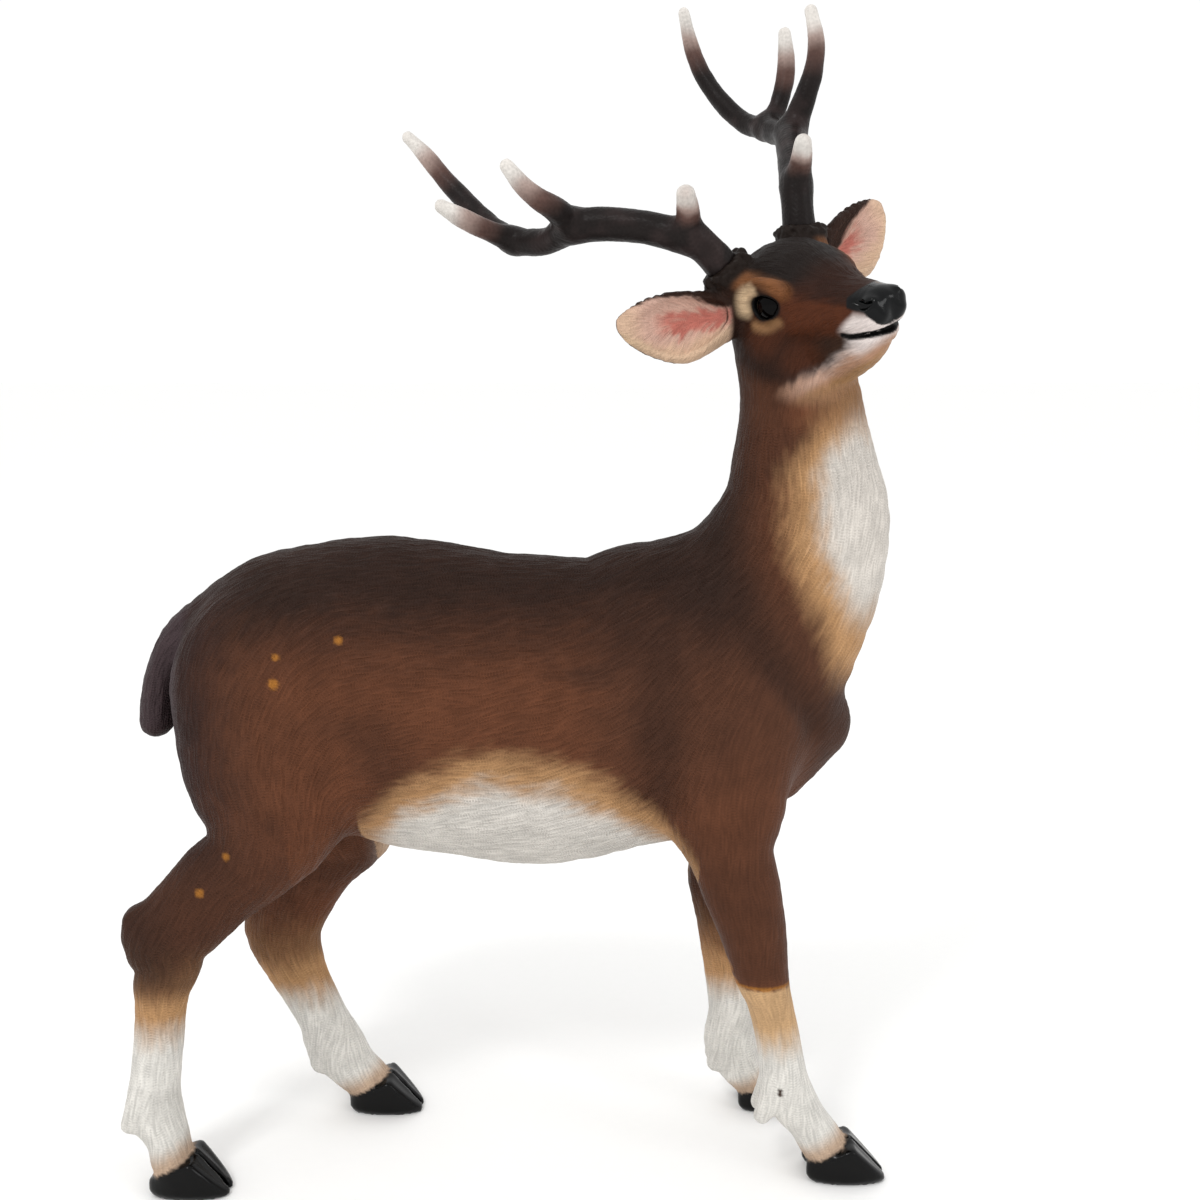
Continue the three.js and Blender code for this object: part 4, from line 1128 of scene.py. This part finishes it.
class StagSettings(bpy.types.PropertyGroup):
    """The sizes that the stag's pieces and its stage are made with."""

    coat_cell: length("Coat cell", "Width of the facets on the body", 1.3 * MM, 0.5 * MM, 6 * MM)
    head_cell: length("Head cell", "Width of the facets on the head", 0.8 * MM, 0.4 * MM, 4 * MM)
    antler_cell: length("Antler cell", "Width of the facets on the antlers", 1.0 * MM, 0.5 * MM, 4 * MM)
    lamp_size: length("Lamp size", "Side of the square studio lamps", 0.55, 0.1, 3.0)


# Where the body's skin is parted into pieces: forward places, and heights.
HIND_CUT, FORE_CUT = -92.0, 5.0
NECK_CUT, NECK_JOIN = 276.0, 380.0


class STAG_OT_body(bpy.types.Operator):
    """Builds the carved and painted body in four parts"""

    bl_idname = "stag.body"
    bl_label = "Body"

    def execute(self, context):
        cell = context.scene.stag.coat_cell / MM
        forms = body_forms()
        points, faces = skin(forms, (-246, -66, -3), (150, 66, NECK_JOIN + 3 * cell), cell)
        points = eased(points, faces)
        points, attributes = carve(forms, points, faces, False)
        normal = normals_of(points, faces)
        middle = points[faces].mean(1)
        x, z = middle[:, 0], middle[:, 2]
        # Semi-matt paint on cast resin: the strokes break the shine up, as on carved fur.
        material = painted_material("painted resin coat", 1.1, 5.5, 0.5, 0.16)
        hind, fore, neck, top = (0, HIND_CUT), (0, FORE_CUT), (2, NECK_CUT), (2, NECK_JOIN)
        body = z < NECK_JOIN + 0.4
        front = x >= FORE_CUT
        parts = {
            "stag_hindquarters": (x < HIND_CUT, [hind]),
            "stag_barrel": ((x >= HIND_CUT) & ~front, [hind, fore]),
            "stag_forequarters": (front & (z < NECK_CUT), [fore, neck]),
            "stag_neck": (front & (z >= NECK_CUT), [neck, fore, top]),
        }
        for name, (keep, cuts) in parts.items():
            add_part(name, points, faces, attributes, normal, keep & body, cuts, material)
        return {"FINISHED"}


class STAG_OT_head(bpy.types.Operator):
    """Builds the head with its ears, eyelids, nose and burrs"""

    bl_idname = "stag.head"
    bl_label = "Head"

    def execute(self, context):
        cell = context.scene.stag.head_cell / MM
        forms = body_forms()
        points, faces = skin(forms, (-4, -112, NECK_JOIN - 3 * cell), (170, 70, 512), cell)
        points = eased(points, faces)
        points, attributes = carve(forms, points, faces, True)
        normal = normals_of(points, faces)
        keep = points[faces].mean(1)[:, 2] > NECK_JOIN - 0.4
        # The same semi-matt paint, with shorter and finer strokes, as on the short hair of a face.
        material = painted_material("painted resin head", 0.8, 3.6, 0.3, 0.13)
        add_part("stag_head", points, faces, attributes, normal, keep, [(2, NECK_JOIN)], material)
        return {"FINISHED"}


class STAG_OT_eyes(bpy.types.Operator):
    """Builds the two glossy eyes"""

    bl_idname = "stag.eyes"
    bl_label = "Eyes"

    def execute(self, context):
        # Black paint under clear gloss varnish, which gives the eye its small catchlights.
        material = plain_material("glossy black eye", "#030202", 0.12, 0.16, level=0.0)
        for name, way in (("stag_eye_left", 1), ("stag_eye_right", -1)):
            points, faces = ball(on_head(0, 20.3 * way, 0), EYE_DIAMETER / 2, 24, 48)
            add_piece(name, points, faces, material, [])
        return {"FINISHED"}


def ball(centre, radius, rings, sectors):
    """A ball in rings from pole to pole, with one place at each pole.

    A place's angle down from the top pole sets its ring, and its angle round sets its place in the ring.
    """
    down = np.linspace(0, np.pi, rings + 1)[1:-1, None]
    turn = np.linspace(0, 2 * np.pi, sectors, endpoint=False)[None]
    x, y, z = np.broadcast_arrays(np.sin(down) * np.cos(turn), np.sin(down) * np.sin(turn), np.cos(down))
    points = np.vstack([np.stack([x, y, z], -1).reshape(-1, 3), [(0, 0, 1), (0, 0, -1)]])
    row, column = np.indices((rings - 2, sectors)).reshape(2, -1)
    after = (column + 1) % sectors
    ring, below = row * sectors, (row + 1) * sectors
    quads = np.stack([ring + column, below + column, below + after, ring + after], 1)
    column = np.arange(sectors)
    after = (column + 1) % sectors
    last = (rings - 2) * sectors
    top = np.stack([column, after, np.full(sectors, (rings - 1) * sectors)], 1)
    bottom = np.stack([last + after, last + column, np.full(sectors, (rings - 1) * sectors + 1)], 1)
    return centre + radius * points, [quads, top, bottom]


class STAG_OT_antlers(bpy.types.Operator):
    """Builds the two antlers, each standing in its burr"""

    bl_idname = "stag.antlers"
    bl_label = "Antlers"

    def execute(self, context):
        cell = context.scene.stag.antler_cell / MM
        # Dark matt paint on resin, rubbed pale at the tips, with a dull shine along the beam.
        material = painted_material("painted resin antler", 1.4, 10.0, 0.22, 0.1)
        for name, way in (("antler_left", 1), ("antler_right", -1)):
            forms = antler_forms(way)
            top, axis = seat(way)
            base = Seat(top - axis * 30.0, axis, 40.0, 29.0)
            low = np.min([form.low for form in forms], 0)
            high = np.max([form.high for form in forms], 0)
            points, faces = skin([*forms, base], low, high, cell)
            points = eased(points, faces)
            normal = normals_of(points, faces)
            comb = combed(forms, points, normal)
            ripple = strokes(points, comb, 2.0, 16, 5)
            paint, rough, fur = horn_paint(points, way)
            relief = 0.16 * ripple + 0.25 * noise(points, 7, 51)
            points = points + normal * relief[:, None]
            attributes = painted_attributes(paint, rough, fur, comb)
            add_piece("stag_" + name, points, [faces], material, [name], attributes)
        return {"FINISHED"}


# The stage: metres for the floor and the lamps, watts for the lamps, millimetres for the camera.
FLOOR_HALF = 30
WORLD_STRENGTH = 1.03
LAMPS = (("key lamp", (-0.9, -1.9, 2.3), 22.0), ("fill lamp", (1.9, -1.3, 1.2), 5.0))
LAMP_AIM = (0.0, 0.0, 0.3)
LENS, SENSOR_WIDTH = 45.0, 36.0
CAMERA_PLACE = (0.0, -740.8, 410.1)
CAMERA_TILT = 81


class STAG_OT_stage(bpy.types.Operator):
    """Adds the pale floor, the soft lamps and the camera at the photograph's angle"""

    bl_idname = "stag.stage"
    bl_label = "Stage"

    def execute(self, context):
        scene = context.scene
        floor = bpy.data.meshes.new("floor")
        corners = [(FLOOR_HALF * x, FLOOR_HALF * y, 0) for x, y in ((-1, -1), (1, -1), (1, 1), (-1, 1))]
        floor.from_pydata(corners, [], [(0, 1, 2, 3)])
        # A pale painted board, matt, so that the stag's shadow stays soft.
        floor.materials.append(plain_material("pale floor", "#fcfcfb", 0.9, spread=0.01))
        board = bpy.data.objects.new("floor", floor)
        scene.collection.objects.link(board)
        world = bpy.data.worlds.new("studio")
        world.use_nodes = True
        background = world.node_tree.nodes["Background"].inputs
        background["Color"].default_value = (1.0, 1.0, 1.0, 1.0)
        background["Strength"].default_value = WORLD_STRENGTH
        scene.world = world
        scene.view_settings.view_transform = "Standard"
        for name, place, power in LAMPS:
            lamp = bpy.data.lights.new(name, "AREA")
            lamp.energy = power
            lamp.size = scene.stag.lamp_size
            light = bpy.data.objects.new(name, lamp)
            light.location = place
            across, along, up = np.array(LAMP_AIM) - np.array(place)
            tilt = np.arctan2(np.hypot(across, along), -up)
            light.rotation_euler = (tilt, 0, np.arctan2(along, across) - np.pi / 2)
            scene.collection.objects.link(light)
        camera = bpy.data.cameras.new("camera")
        camera.lens = LENS
        camera.sensor_width = SENSOR_WIDTH
        view = bpy.data.objects.new("camera", camera)
        view.location = row_frame(np.array(CAMERA_PLACE))
        view.rotation_euler = (np.radians(CAMERA_TILT), 0, 0)
        scene.collection.objects.link(view)
        scene.camera = view
        return {"FINISHED"}


class STAG_PT_panel(bpy.types.Panel):
    """The stag's sizes and its operators, in the 3D view's sidebar"""

    bl_idname = "STAG_PT_panel"
    bl_label = "Stag"
    bl_space_type = "VIEW_3D"
    bl_region_type = "UI"
    bl_category = "Stag"

    def draw(self, context):
        for name in ("coat_cell", "head_cell", "antler_cell", "lamp_size"):
            self.layout.prop(context.scene.stag, name)
        for kind in OPERATORS:
            self.layout.operator(kind.bl_idname)


OPERATORS = (STAG_OT_body, STAG_OT_head, STAG_OT_eyes, STAG_OT_antlers, STAG_OT_stage)
CLASSES = (StagSettings, *OPERATORS, STAG_PT_panel)


def register():
    """Registers the classes and the scene's settings."""
    for kind in CLASSES:
        bpy.utils.register_class(kind)
    bpy.types.Scene.stag = bpy.props.PointerProperty(type=StagSettings)


def unregister():
    """Takes the settings and the classes away again."""
    del bpy.types.Scene.stag
    for kind in reversed(CLASSES):
        bpy.utils.unregister_class(kind)


def main():
    """Builds the whole scene."""
    register()
    bpy.ops.stag.body()
    bpy.ops.stag.head()
    bpy.ops.stag.eyes()
    bpy.ops.stag.antlers()
    bpy.ops.stag.stage()


if __name__ == "__main__":
    main()
